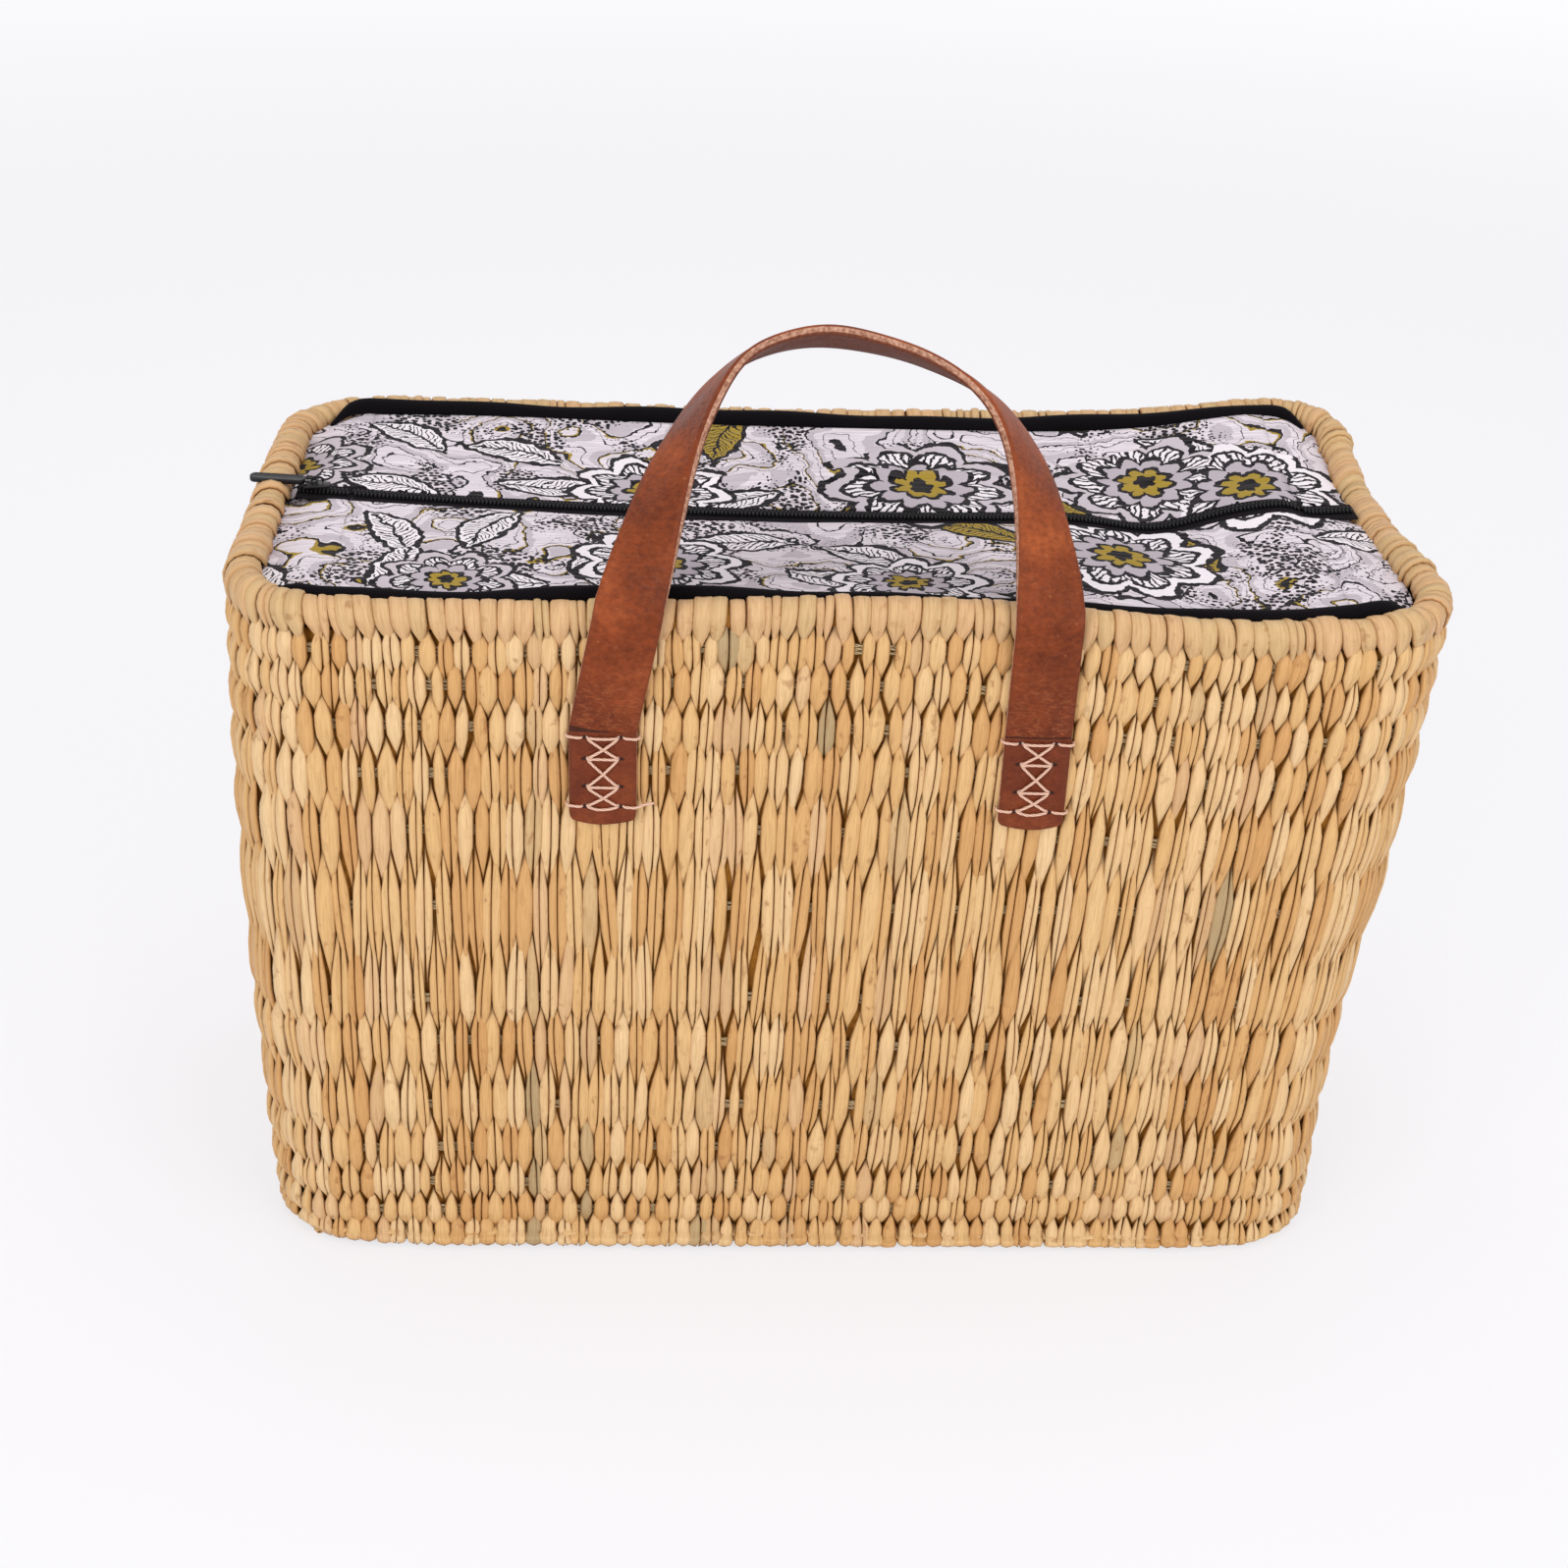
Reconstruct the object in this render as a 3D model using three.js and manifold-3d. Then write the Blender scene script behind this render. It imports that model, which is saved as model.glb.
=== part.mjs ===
// Reed basket bag: a woven reed body on weft cords, with a wrapped rim, a sewn cotton
// lining, a zipped cloth lid and two leather handles laced to the walls.
// Millimetres, +Z up, front towards -Y, origin at the middle of the base on the ground.
import * as THREE from 'three';
import { mergeVertices } from 'three/addons/utils/BufferGeometryUtils.js';
import Module from 'manifold-3d';

const wasm = await Module();
wasm.setup();

// Basket body
const rimWidth = 470;
const rimDepth = 220;
const rimHeight = 305;
const widthTaper = 20;
const depthTaper = 14;
const rimCornerRadius = 40;
const cornerTaper = 4;
const rimLean = 8;
const rimRollDiameter = 14;
const rimOverhang = 2;
const wallThickness = 8;
const baseThickness = 7;
const baseEdgeRound = 2.5;
const cornerSteps = 4;

// Weave: the place of each weft cord up the wall, as a share of its height, and the strips
// of reed that pass over and under the cords. One strip stands for four split reeds.
const cordRows = [0.983, 0.927, 0.867, 0.796, 0.701, 0.581, 0.422, 0.345, 0.235, 0.151, 0.087, 0.038];
const cordDiameter = 2.4;
const stripWidth = 13;
const stripGap = 1;
const stripRelief = 2.4;
const cordCover = 0.8;

// Cloth: lining, lid panels and piping
const liningThickness = 1.2;
const liningSeamAngle = 0.6;
const lidThickness = 1.6;
const lidDrop = 4.5;
const pipingDiameter = 7;
const pipingRise = 5;
const pipingCornerSweep = 20;

// Zip
const zipOffset = 4;
const tapeWidth = 5;
const tapeThickness = 0.8;
const coilWidth = 2;
const coilHeight = 1.6;
const coilGap = 1.4;
const stopLength = 3;
const tailEndMargin = 3;
const sliderLength = 10;
const sliderWidth = 8;
const sliderPlate = 1.1;
const sliderPostLength = 3;
const sliderPostWidth = 0.7;
const bailLength = 5.4;
const bailWidth = 2;
const bailBar = 1;
const bailClearHeight = 2.2;
const pullLength = 27;
const pullWidth = 5;
const pullThickness = 1.4;
const pullEyeLength = 4.6;
const pullBar = 1.2;
const pullTilt = 2.5;

// Leather handles
const strapWidth = 26;
const strapThickness = 3.8;
const tabHeight = 38.5;
const tabDrop = 53;
const tabCornerRadius = 6;
const handleSpacing = 166;
const archHalfWidth = 78;
const archRise = 107;
const archLean = 41;
const archSteps = 20;
const archTwist = 79;
const bendSteps = 4;
const hingeStandOff = 0.8;
const backHandleHang = 172;

// Line of the strap's arch from leg to leg, in shares of its half width and of its rise
const archLine = [
  [-0.935, 0],
  [-0.785, 0.41],
  [-0.62, 0.705],
  [-0.385, 0.92],
  [-0.01, 1],
  [0.37, 0.95],
  [0.655, 0.857],
  [0.84, 0.73],
  [0.98, 0.51],
  [1.05, 0.2],
  [1.064, 0],
];

// Lacing, one thread over four rows of two holes in each tab
const lacingRows = [1, 10.2, 22.4, 31];
const lacingHoleSpacing = 13;
const lacingHoleDiameter = 3;
const threadDiameter = 1.3;
const threadSides = 4;

// Clearances
const seatGap = 0.3;
const runningGap = 0.35;
const flapGap = 0.5;

// Finishes
const reedFinish = new THREE.MeshStandardMaterial({ color: 0xd3ad6c, roughness: 0.7 });
const twineFinish = new THREE.MeshStandardMaterial({ color: 0xd9c79b, roughness: 0.9 });
const liningFinish = new THREE.MeshStandardMaterial({ color: 0xd8d6d2, roughness: 0.9 });
const printFinish = new THREE.MeshStandardMaterial({ color: 0xc3c1c0, roughness: 0.85 });
const pipingFinish = new THREE.MeshStandardMaterial({ color: 0x151414, roughness: 0.8 });
const coilFinish = new THREE.MeshStandardMaterial({ color: 0x101010, roughness: 0.5 });
const sliderFinish = new THREE.MeshStandardMaterial({ color: 0x0c0c0d, roughness: 0.3, metalness: 0.6 });
const leatherFinish = new THREE.MeshStandardMaterial({ color: 0x8a4526, roughness: 0.5 });
const threadFinish = new THREE.MeshStandardMaterial({ color: 0xe3c9a8, roughness: 0.85 });

const baseWidth = rimWidth - widthTaper;
const baseDepth = rimDepth - depthTaper;
const baseCornerRadius = rimCornerRadius - cornerTaper;

const lerp = THREE.MathUtils.lerp;
const rad = THREE.MathUtils.degToRad;

const bag = new THREE.Group();
function addMesh(name, geometry, material, parent = bag) {
  const mesh = new THREE.Mesh(geometry, material);
  mesh.name = name;
  parent.add(mesh);
  return mesh;
}

// Plan outline of the basket at a height, drawn in from its outer face by an inset.
// A station is a place on one of the four rounded corners: its quadrant and its angle.
function cornerStations(quadrant, fromAngle, toAngle, steps = cornerSteps) {
  const sides = [[1, 1], [-1, 1], [-1, -1], [1, -1]][quadrant];
  return Array.from({ length: steps + 1 }, (_, step) => ({
    sideX: sides[0],
    sideY: sides[1],
    angle: rad(lerp(fromAngle, toAngle, step / steps)),
  }));
}

const roundStations = [0, 1, 2, 3].flatMap((q) => cornerStations(q, q * 90, q * 90 + 90));

function halfDepthAt(z) {
  return lerp(baseDepth, rimDepth, z / rimHeight) / 2;
}

function leanAt(z) {
  return rimLean * (z / rimHeight);
}

function outlinePoint(station, z, inset) {
  const share = z / rimHeight;
  const radius = lerp(baseCornerRadius, rimCornerRadius, share) - inset;
  const reachX = lerp(baseWidth, rimWidth, share) / 2 - inset - radius;
  const reachY = halfDepthAt(z) - inset - radius;
  return new THREE.Vector3(
    leanAt(z) + station.sideX * reachX + radius * Math.cos(station.angle),
    station.sideY * reachY + radius * Math.sin(station.angle),
    z,
  );
}

// Closed skin over rows of points, each row one section of the piece.
function skinRows(rows, closed) {
  const around = rows[0].length;
  const positions = rows.flat().flatMap((point) => point.toArray());
  const indices = [];
  const spans = closed ? rows.length : rows.length - 1;
  for (let i = 0; i < spans; i += 1) {
    const here = i * around;
    const next = ((i + 1) % rows.length) * around;
    for (let j = 0; j < around; j += 1) {
      const k = (j + 1) % around;
      indices.push(here + j, next + j, next + k, here + j, next + k, here + k);
    }
  }
  if (!closed) {
    const last = (rows.length - 1) * around;
    for (let j = 1; j < around - 1; j += 1) {
      indices.push(0, j, j + 1, last, last + j + 1, last + j);
    }
  }
  return closedSolid(positions, indices);
}

function closedSolid(positions, indices) {
  if (signedVolume(positions, indices) < 0) indices.reverse();
  const geometry = new THREE.BufferGeometry();
  geometry.setAttribute('position', new THREE.Float32BufferAttribute(positions, 3));
  geometry.setIndex(indices);
  geometry.computeVertexNormals();
  return geometry;
}

function signedVolume(positions, indices) {
  const corner = (i) => new THREE.Vector3().fromArray(positions, indices[i] * 3);
  let volume = 0;
  for (let i = 0; i < indices.length; i += 3) {
    volume += corner(i).dot(corner(i + 1).cross(corner(i + 2))) / 6;
  }
  return volume;
}

// A profile is a list of [inset, z] points, swept along stations of the outline.
function sweepProfile(stations, profile, closed) {
  const rows = stations.map((station) => profile.map(([inset, z]) => outlinePoint(station, z, inset)));
  return skinRows(rows, closed);
}

// Both edges of each woven strip, one after another round the outline. The strips always
// come to an even number.
function stripStations(width, gap) {
  const edgeShares = (length) => {
    const strips = Math.round(length / width);
    const edge = gap / 2 / length;
    return Array.from({ length: strips }, (_, k) => [k / strips + edge, (k + 1) / strips - edge]).flat();
  };
  const cornerShares = edgeShares((Math.PI / 2) * rimCornerRadius);
  const sideShares = [rimWidth, rimDepth].map((length) => edgeShares(length - 2 * rimCornerRadius));
  return [0, 1, 2, 3].flatMap((q) => {
    const [, start] = cornerStations(q, q * 90, q * 90 + 90, 1);
    const [end] = cornerStations((q + 1) % 4, q * 90 + 90, q * 90 + 180, 1);
    const corner = cornerShares.map((share) => ({ ...start, angle: rad(q * 90 + 90 * share) }));
    const straight = sideShares[q % 2].map((share) => ({
      sideX: lerp(start.sideX, end.sideX, share),
      sideY: lerp(start.sideY, end.sideY, share),
      angle: start.angle,
    }));
    return [...corner, ...straight];
  });
}

// Closed drum over level rings of points, from the top down, each end closed round its middle.
function drum(rings) {
  const around = rings[0].length;
  const last = (rings.length - 1) * around;
  const middleOf = (ring) => ring
    .reduce((sum, point) => sum.add(point), new THREE.Vector3())
    .divideScalar(around);
  const middles = [rings[0], rings[rings.length - 1]].map(middleOf);
  const positions = [...rings.flat(), ...middles].flatMap((point) => point.toArray());
  const top = rings.length * around;
  const bottom = top + 1;
  const indices = [];
  for (let j = 0; j < around; j += 1) {
    const k = (j + 1) % around;
    for (let here = 0; here < last; here += around) {
      const next = here + around;
      indices.push(here + j, next + j, next + k, here + j, next + k, here + k);
    }
    indices.push(top, j, k, bottom, last + k, last + j);
  }
  return closedSolid(positions, indices);
}

function roundProfile(inset, z, diameter, sides) {
  return Array.from({ length: sides }, (_, side) => {
    const angle = (2 * Math.PI * side) / sides;
    return [inset + (diameter / 2) * Math.cos(angle), z + (diameter / 2) * Math.sin(angle)];
  });
}

function boxBetween(low, high) {
  const geometry = new THREE.BoxGeometry(high[0] - low[0], high[1] - low[1], high[2] - low[2]);
  return geometry.translate((low[0] + high[0]) / 2, (low[1] + high[1]) / 2, (low[2] + high[2]) / 2);
}

// Boolean joins and cuts
function toManifold(geometry) {
  const plain = geometry.clone();
  plain.deleteAttribute('normal');
  plain.deleteAttribute('uv');
  const merged = mergeVertices(plain, 1e-5);
  return new wasm.Manifold(new wasm.Mesh({
    numProp: 3,
    vertProperties: new Float32Array(merged.attributes.position.array),
    triVerts: new Uint32Array(merged.index.array),
  }));
}

function fromManifold(solid) {
  const mesh = solid.getMesh();
  const geometry = new THREE.BufferGeometry();
  geometry.setAttribute('position', new THREE.Float32BufferAttribute(mesh.vertProperties, 3));
  geometry.setIndex(new THREE.Uint32BufferAttribute(mesh.triVerts, 1));
  geometry.computeVertexNormals();
  return geometry;
}

function joinSolids(geometries) {
  return fromManifold(geometries.map(toManifold).reduce((whole, piece) => whole.add(piece)));
}

function cutSolid(geometry, cutter) {
  return fromManifold(toManifold(geometry).subtract(toManifold(cutter)));
}

// Base mat: the reeds turned under and woven flat
const baseShape = new THREE.Shape(roundStations.map((station) => {
  const point = outlinePoint(station, 0, rimOverhang + baseEdgeRound);
  return new THREE.Vector2(point.x, point.y);
}));
const baseGeometry = new THREE.ExtrudeGeometry(baseShape, {
  depth: baseThickness - 2 * baseEdgeRound,
  bevelThickness: baseEdgeRound,
  bevelSize: baseEdgeRound,
  bevelSegments: 2,
});
addMesh('base_mat', baseGeometry.translate(0, 0, baseEdgeRound), reedFinish);

// Reed wall: one woven ring. At each cord every other strip passes over it and stands proud,
// the strips between pass under it, and a channel open to the inside holds the cord.
const rimRollRadius = rimRollDiameter / 2;
const wallOuter = rimOverhang;
const wallInner = wallOuter + wallThickness;
const wallBottom = baseThickness + seatGap;
const wallTop = rimHeight - rimRollDiameter - seatGap;
const channelHalf = cordDiameter / 2 + seatGap;
const channelFloor = wallOuter + stripRelief + cordCover;
const cordInset = channelFloor + seatGap + cordDiameter / 2;
const cordHeights = cordRows.map((share) => lerp(wallBottom, wallTop, share));
const weaveColumns = stripStations(stripWidth, stripGap);
const passesUnder = (column, row) => (Math.floor(column / 2) + row) % 2 === 1;
const edgeRing = (z) => weaveColumns.map((station) => outlinePoint(station, z, wallOuter + stripRelief / 2));
const stripRings = cordHeights.map((z, row) => weaveColumns.map((station, column) => (
  outlinePoint(station, z, wallOuter + (passesUnder(column, row) ? stripRelief : 0))
)));
const wovenBody = drum([edgeRing(wallTop), ...stripRings, edgeRing(wallBottom)]);
const boreProfile = [
  [wallInner, wallTop + seatGap],
  ...cordHeights.flatMap((z) => [
    [wallInner, z + channelHalf],
    [channelFloor, z + channelHalf],
    [channelFloor, z - channelHalf],
    [wallInner, z - channelHalf],
  ]),
  [wallInner, wallBottom - seatGap],
];
const boreRing = ([inset, z]) => roundStations.map((station) => outlinePoint(station, z, inset));
addMesh('reed_wall', cutSolid(wovenBody, drum(boreProfile.map(boreRing))), reedFinish);

// Weft cords, one twine ring in each channel
cordHeights.forEach((z, row) => {
  const profile = roundProfile(cordInset, z, cordDiameter, 5);
  const name = `weft_cord_${String(row + 1).padStart(2, '0')}`;
  addMesh(name, sweepProfile(roundStations, profile, true), twineFinish);
});

// Wrapped rim roll on top of the wall
const rimCentreZ = rimHeight - rimRollRadius;
const rimProfile = roundProfile(rimRollRadius, rimCentreZ, rimRollDiameter, 10);
addMesh('rim_roll', sweepProfile(roundStations, rimProfile, true), reedFinish);

// Cotton lining: a base sheet and four wall sheets that meet in the corners
const liningOuter = wallInner + seatGap;
const liningInner = liningOuter + liningThickness;
const liningFloor = baseThickness + seatGap;
const liningFloorTop = liningFloor + liningThickness;
const liningBaseShape = new THREE.Shape(roundStations.map((station) => {
  const point = outlinePoint(station, wallBottom, liningOuter);
  return new THREE.Vector2(point.x, point.y);
}));
const liningBase = new THREE.ExtrudeGeometry(liningBaseShape, {
  depth: liningThickness,
  bevelEnabled: false,
});
addMesh('lining_base', liningBase.translate(0, 0, liningFloor), liningFinish);

const liningProfile = [
  [liningOuter, liningFloorTop + seatGap],
  [liningInner, liningFloorTop + seatGap],
  [liningInner, wallTop],
  [liningOuter, wallTop],
];
const liningSides = [['lining_right', 3], ['lining_back', 0], ['lining_left', 1], ['lining_front', 2]];
liningSides.forEach(([name, quadrant]) => {
  const next = (quadrant + 1) % 4;
  const stations = [
    ...cornerStations(quadrant, quadrant * 90 + 45 + liningSeamAngle, quadrant * 90 + 90, cornerSteps / 2),
    ...cornerStations(next, next * 90, next * 90 + 45 - liningSeamAngle, cornerSteps / 2),
  ];
  addMesh(name, sweepProfile(stations, liningProfile, false), liningFinish);
});

// Piping along the front and back of the lid, nested against the rim roll
const pipingRadius = pipingDiameter / 2;
const pipingZ = rimCentreZ + pipingRise;
const pipingReach = Math.sqrt((rimRollRadius + pipingRadius + seatGap) ** 2 - pipingRise ** 2);
const pipingInset = rimRollRadius + pipingReach;
const pipingProfile = roundProfile(pipingInset, pipingZ, pipingDiameter, 8);
[['back_piping', 0], ['front_piping', 2]].forEach(([name, quadrant]) => {
  const turn = quadrant * 90 + 90;
  const stations = [
    ...cornerStations(quadrant, turn - pipingCornerSweep, turn, 3),
    ...cornerStations(quadrant + 1, turn, turn + pipingCornerSweep, 3),
  ];
  addMesh(name, sweepProfile(stations, pipingProfile, false), pipingFinish);
});

// Lid: two zipped flaps hinged at the piping, and a fixed cloth end at each side
const lidZ = rimHeight - lidDrop;
const lidCentreX = leanAt(lidZ);
const hingeReach = Math.sqrt((pipingRadius + lidThickness / 2 + seatGap) ** 2 - (pipingZ - lidZ) ** 2);
const flapHinge = halfDepthAt(lidZ) - pipingInset - hingeReach;
const flapEnd = rimWidth / 2 - rimCornerRadius;
const tapeReach = coilGap / 2 + tapeWidth;
const lidLow = lidZ - lidThickness / 2;
const lidHigh = lidZ + lidThickness / 2;
const tapeLow = lidZ - tapeThickness / 2;
const tapeHigh = lidZ + tapeThickness / 2;
const coilTop = tapeHigh + coilHeight;
const flapLeft = lidCentreX - flapEnd;
const flapRight = lidCentreX + flapEnd;

function ridge(yEdge, side, fromX, toX) {
  const shape = new THREE.Shape();
  shape.moveTo(0, 0);
  shape.lineTo(coilWidth, 0);
  shape.lineTo(coilWidth, coilHeight * 0.6);
  shape.lineTo(coilWidth * 0.7, coilHeight);
  shape.lineTo(coilWidth * 0.3, coilHeight);
  shape.lineTo(0, coilHeight * 0.6);
  const geometry = new THREE.ExtrudeGeometry(shape, { depth: toX - fromX, bevelEnabled: false });
  geometry.rotateX(Math.PI / 2).rotateZ(Math.PI / 2);
  const start = side > 0 ? yEdge : yEdge - coilWidth;
  return geometry.translate(fromX, start, tapeHigh + seatGap);
}

[['front', -1], ['back', 1]].forEach(([name, side]) => {
  const tapeInner = zipOffset + side * (coilGap / 2);
  const tapeOuter = zipOffset + side * tapeReach;
  const panelInner = tapeOuter + side * seatGap;
  const panelOuter = side * flapHinge;
  const panel = boxBetween(
    [flapLeft, Math.min(panelInner, panelOuter), lidLow],
    [flapRight, Math.max(panelInner, panelOuter), lidHigh],
  );
  addMesh(`${name}_lid_panel`, panel, printFinish);
  const tape = boxBetween(
    [flapLeft, Math.min(tapeInner, tapeOuter), tapeLow],
    [flapRight, Math.max(tapeInner, tapeOuter), tapeHigh],
  );
  addMesh(`${name}_zip_tape`, tape, pipingFinish);
  addMesh(`${name}_zip_coil`, ridge(tapeInner, side, flapLeft, flapRight), coilFinish);
});

// Fixed cloth ends, each slotted for the tail of the zip
const rimInner = rimRollRadius + Math.sqrt(rimRollRadius ** 2 - (lidLow - rimCentreZ) ** 2);
const facetSag = (rimCornerRadius - rimInner) * (1 - Math.cos(rad(45 / cornerSteps)));
const endInset = rimInner + facetSag + seatGap;
const endReachX = rimWidth / 2 - rimCornerRadius;
const endRadius = rimCornerRadius - endInset;
const endHalfDepth = flapHinge - seatGap - pipingRadius / 2;
const endCornerReach = rimDepth / 2 - rimCornerRadius;
const endAngle = THREE.MathUtils.radToDeg(Math.asin((endHalfDepth - endCornerReach) / endRadius));
const tailEnd = endReachX + endRadius - tailEndMargin;
const slotHalf = tapeReach + seatGap;
[['left', -1], ['right', 1]].forEach(([name, side]) => {
  const turn = side < 0 ? 180 : 0;
  const stations = [
    ...cornerStations(side < 0 ? 1 : 3, turn - endAngle, turn, 4),
    ...cornerStations(side < 0 ? 2 : 0, turn, turn + endAngle, 4),
  ];
  const rimPoints = stations.map((station) => outlinePoint(station, lidZ, endInset));
  const inner = lidCentreX + side * (flapEnd + flapGap);
  const slotEnd = lidCentreX + side * (tailEnd + seatGap);
  const edge = side < 0 ? -1 : 1;
  const corners = [
    [inner, edge * endHalfDepth],
    [inner, zipOffset + edge * slotHalf],
    [slotEnd, zipOffset + edge * slotHalf],
    [slotEnd, zipOffset - edge * slotHalf],
    [inner, zipOffset - edge * slotHalf],
    [inner, -edge * endHalfDepth],
  ];
  const shape = new THREE.Shape([
    ...rimPoints.map((point) => new THREE.Vector2(point.x, point.y)),
    ...corners.map(([x, y]) => new THREE.Vector2(x, y)),
  ]);
  const panel = new THREE.ExtrudeGeometry(shape, { depth: lidThickness, bevelEnabled: false });
  addMesh(`${name}_end_panel`, panel.translate(0, 0, lidLow), printFinish);

  const tailInner = inner;
  const tailOuter = lidCentreX + side * tailEnd;
  const stopInner = tailOuter - side * stopLength;
  const tailPieces = [-1, 1].flatMap((leg) => {
    const nearY = zipOffset + leg * (coilGap / 2);
    const farY = zipOffset + leg * tapeReach;
    const coilY = nearY + leg * coilWidth;
    return [
      boxBetween(
        [Math.min(tailInner, tailOuter), Math.min(nearY, farY), tapeLow],
        [Math.max(tailInner, tailOuter), Math.max(nearY, farY), tapeHigh],
      ),
      boxBetween(
        [Math.min(tailInner, tailOuter), Math.min(nearY, coilY), lidZ],
        [Math.max(tailInner, tailOuter), Math.max(nearY, coilY), coilTop + seatGap],
      ),
    ];
  });
  const stop = boxBetween(
    [Math.min(stopInner, tailOuter), zipOffset - tapeReach, tapeLow],
    [Math.max(stopInner, tailOuter), zipOffset + tapeReach, coilTop + seatGap],
  );
  addMesh(`zip_tail_${name}`, joinSolids([...tailPieces, stop]), pipingFinish);
});

// Zip slider, parked against the left stop, with a bail for the pull
const sliderRest = lidCentreX - tailEnd + stopLength + seatGap + sliderLength / 2;
const sliderGroup = new THREE.Group();
sliderGroup.position.set(sliderRest, zipOffset, 0);
bag.add(sliderGroup);
const plateLow = coilTop + seatGap + runningGap;
const plateTop = plateLow + sliderPlate;
const solePlateTop = tapeLow - runningGap;

function sliderPlateShape(length, width) {
  const shape = new THREE.Shape();
  const nose = width / 2;
  shape.moveTo(-length / 2, -width / 2 + 1);
  shape.lineTo(-length / 2 + 1, -width / 2);
  shape.lineTo(length / 2 - nose / 2, -width / 2);
  shape.lineTo(length / 2, -width / 4);
  shape.lineTo(length / 2, width / 4);
  shape.lineTo(length / 2 - nose / 2, width / 2);
  shape.lineTo(-length / 2 + 1, width / 2);
  shape.lineTo(-length / 2, width / 2 - 1);
  return shape;
}

const plateShape = sliderPlateShape(sliderLength, sliderWidth);
const plateOptions = { depth: sliderPlate, bevelEnabled: false };
const topPlate = new THREE.ExtrudeGeometry(plateShape, plateOptions).translate(0, 0, plateLow);
const solePlate = new THREE.ExtrudeGeometry(plateShape, plateOptions);
solePlate.translate(0, 0, solePlateTop - sliderPlate);
const postEnd = -sliderLength / 2 + 1;
const post = boxBetween(
  [postEnd, -sliderPostWidth / 2, solePlateTop - sliderPlate / 2],
  [postEnd + sliderPostLength, sliderPostWidth / 2, plateLow + sliderPlate / 2],
);
const bailTop = plateTop + bailClearHeight + bailBar;
const bailPosts = [-1, 1].map((end) => {
  const outer = end * (bailLength / 2);
  const inner = outer - end * bailBar;
  return boxBetween(
    [Math.min(outer, inner), -bailWidth / 2, plateTop - sliderPlate / 2],
    [Math.max(outer, inner), bailWidth / 2, bailTop],
  );
});
const bailBridge = boxBetween(
  [-bailLength / 2, -bailWidth / 2, bailTop - bailBar],
  [bailLength / 2, bailWidth / 2, bailTop],
);
const sliderSolid = joinSolids([topPlate, solePlate, post, ...bailPosts, bailBridge]);
addMesh('zip_slider', sliderSolid, sliderFinish, sliderGroup);

// Zip pull: a tongue with an eye whose end bar passes under the bail
const pullBarZ = plateTop + bailClearHeight / 2;
const pullGroup = new THREE.Group();
pullGroup.position.set(0, 0, pullBarZ);
pullGroup.rotation.y = rad(pullTilt);
sliderGroup.add(pullGroup);
const eyeHalf = pullWidth / 2;
const eyeSide = (pullWidth - bailWidth) / 2 - runningGap;
const pullBarGeometry = boxBetween(
  [-pullBar / 2, -eyeHalf, -pullBar / 2],
  [pullBar / 2, eyeHalf, pullBar / 2],
);
const eyeSides = [-1, 1].map((end) => {
  const outer = end * eyeHalf;
  const inner = outer - end * eyeSide;
  return boxBetween(
    [-pullEyeLength - 1, Math.min(outer, inner), -pullBar / 2],
    [0, Math.max(outer, inner), pullBar / 2],
  );
});
const tongueShape = new THREE.Shape();
tongueShape.moveTo(-pullEyeLength, -eyeHalf);
tongueShape.lineTo(-pullEyeLength, eyeHalf);
tongueShape.lineTo(-pullLength + eyeHalf, eyeHalf);
tongueShape.absarc(-pullLength + eyeHalf, 0, eyeHalf, Math.PI / 2, (3 * Math.PI) / 2, false);
const tongue = new THREE.ExtrudeGeometry(tongueShape, {
  depth: pullThickness,
  bevelEnabled: false,
  curveSegments: 4,
});
tongue.translate(0, 0, -pullThickness / 2);
addMesh('zip_pull', joinSolids([pullBarGeometry, ...eyeSides, tongue]), sliderFinish, pullGroup);

// Handles. Each side of the bag has two sewn tabs and one strap between them, and the
// strap folds where it leaves the tabs. The back is the front turned about the Z axis.
const tabTop = rimHeight - tabDrop;
const wallTilt = Math.atan(depthTaper / 2 / rimHeight);
const tabFaceY = -(halfDepthAt(tabTop) - wallOuter);
const strapMidOffset = seatGap + strapThickness / 2;
const hingeY = tabFaceY - seatGap - strapThickness - hingeStandOff;
const hingeZ = tabTop + flapGap / 2;
const frontSide = new THREE.Group();
const backSide = new THREE.Group();
backSide.rotation.z = Math.PI;
bag.add(frontSide, backSide);

// Tab outline in its own plane: x across, y up from the top edge, rounded at the foot
function tabGeometry() {
  const half = strapWidth / 2;
  const cornerX = half - tabCornerRadius;
  const cornerY = tabCornerRadius - tabHeight;
  const shape = new THREE.Shape();
  shape.moveTo(-half, 0);
  shape.lineTo(-half, cornerY);
  shape.absarc(-cornerX, cornerY, tabCornerRadius, Math.PI, 1.5 * Math.PI, false);
  shape.lineTo(cornerX, -tabHeight);
  shape.absarc(cornerX, cornerY, tabCornerRadius, 1.5 * Math.PI, 2 * Math.PI, false);
  shape.lineTo(half, 0);
  lacingRows.forEach((drop) => [-1, 1].forEach((side) => {
    const hole = new THREE.Path();
    const holeRadius = lacingHoleDiameter / 2;
    hole.absarc(side * (lacingHoleSpacing / 2), -drop - holeRadius, holeRadius, 0, 2 * Math.PI, true);
    shape.holes.push(hole);
  }));
  const geometry = new THREE.ExtrudeGeometry(shape, {
    depth: strapThickness,
    bevelEnabled: false,
    curveSegments: 3,
  });
  return geometry.translate(0, 0, seatGap);
}

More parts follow.
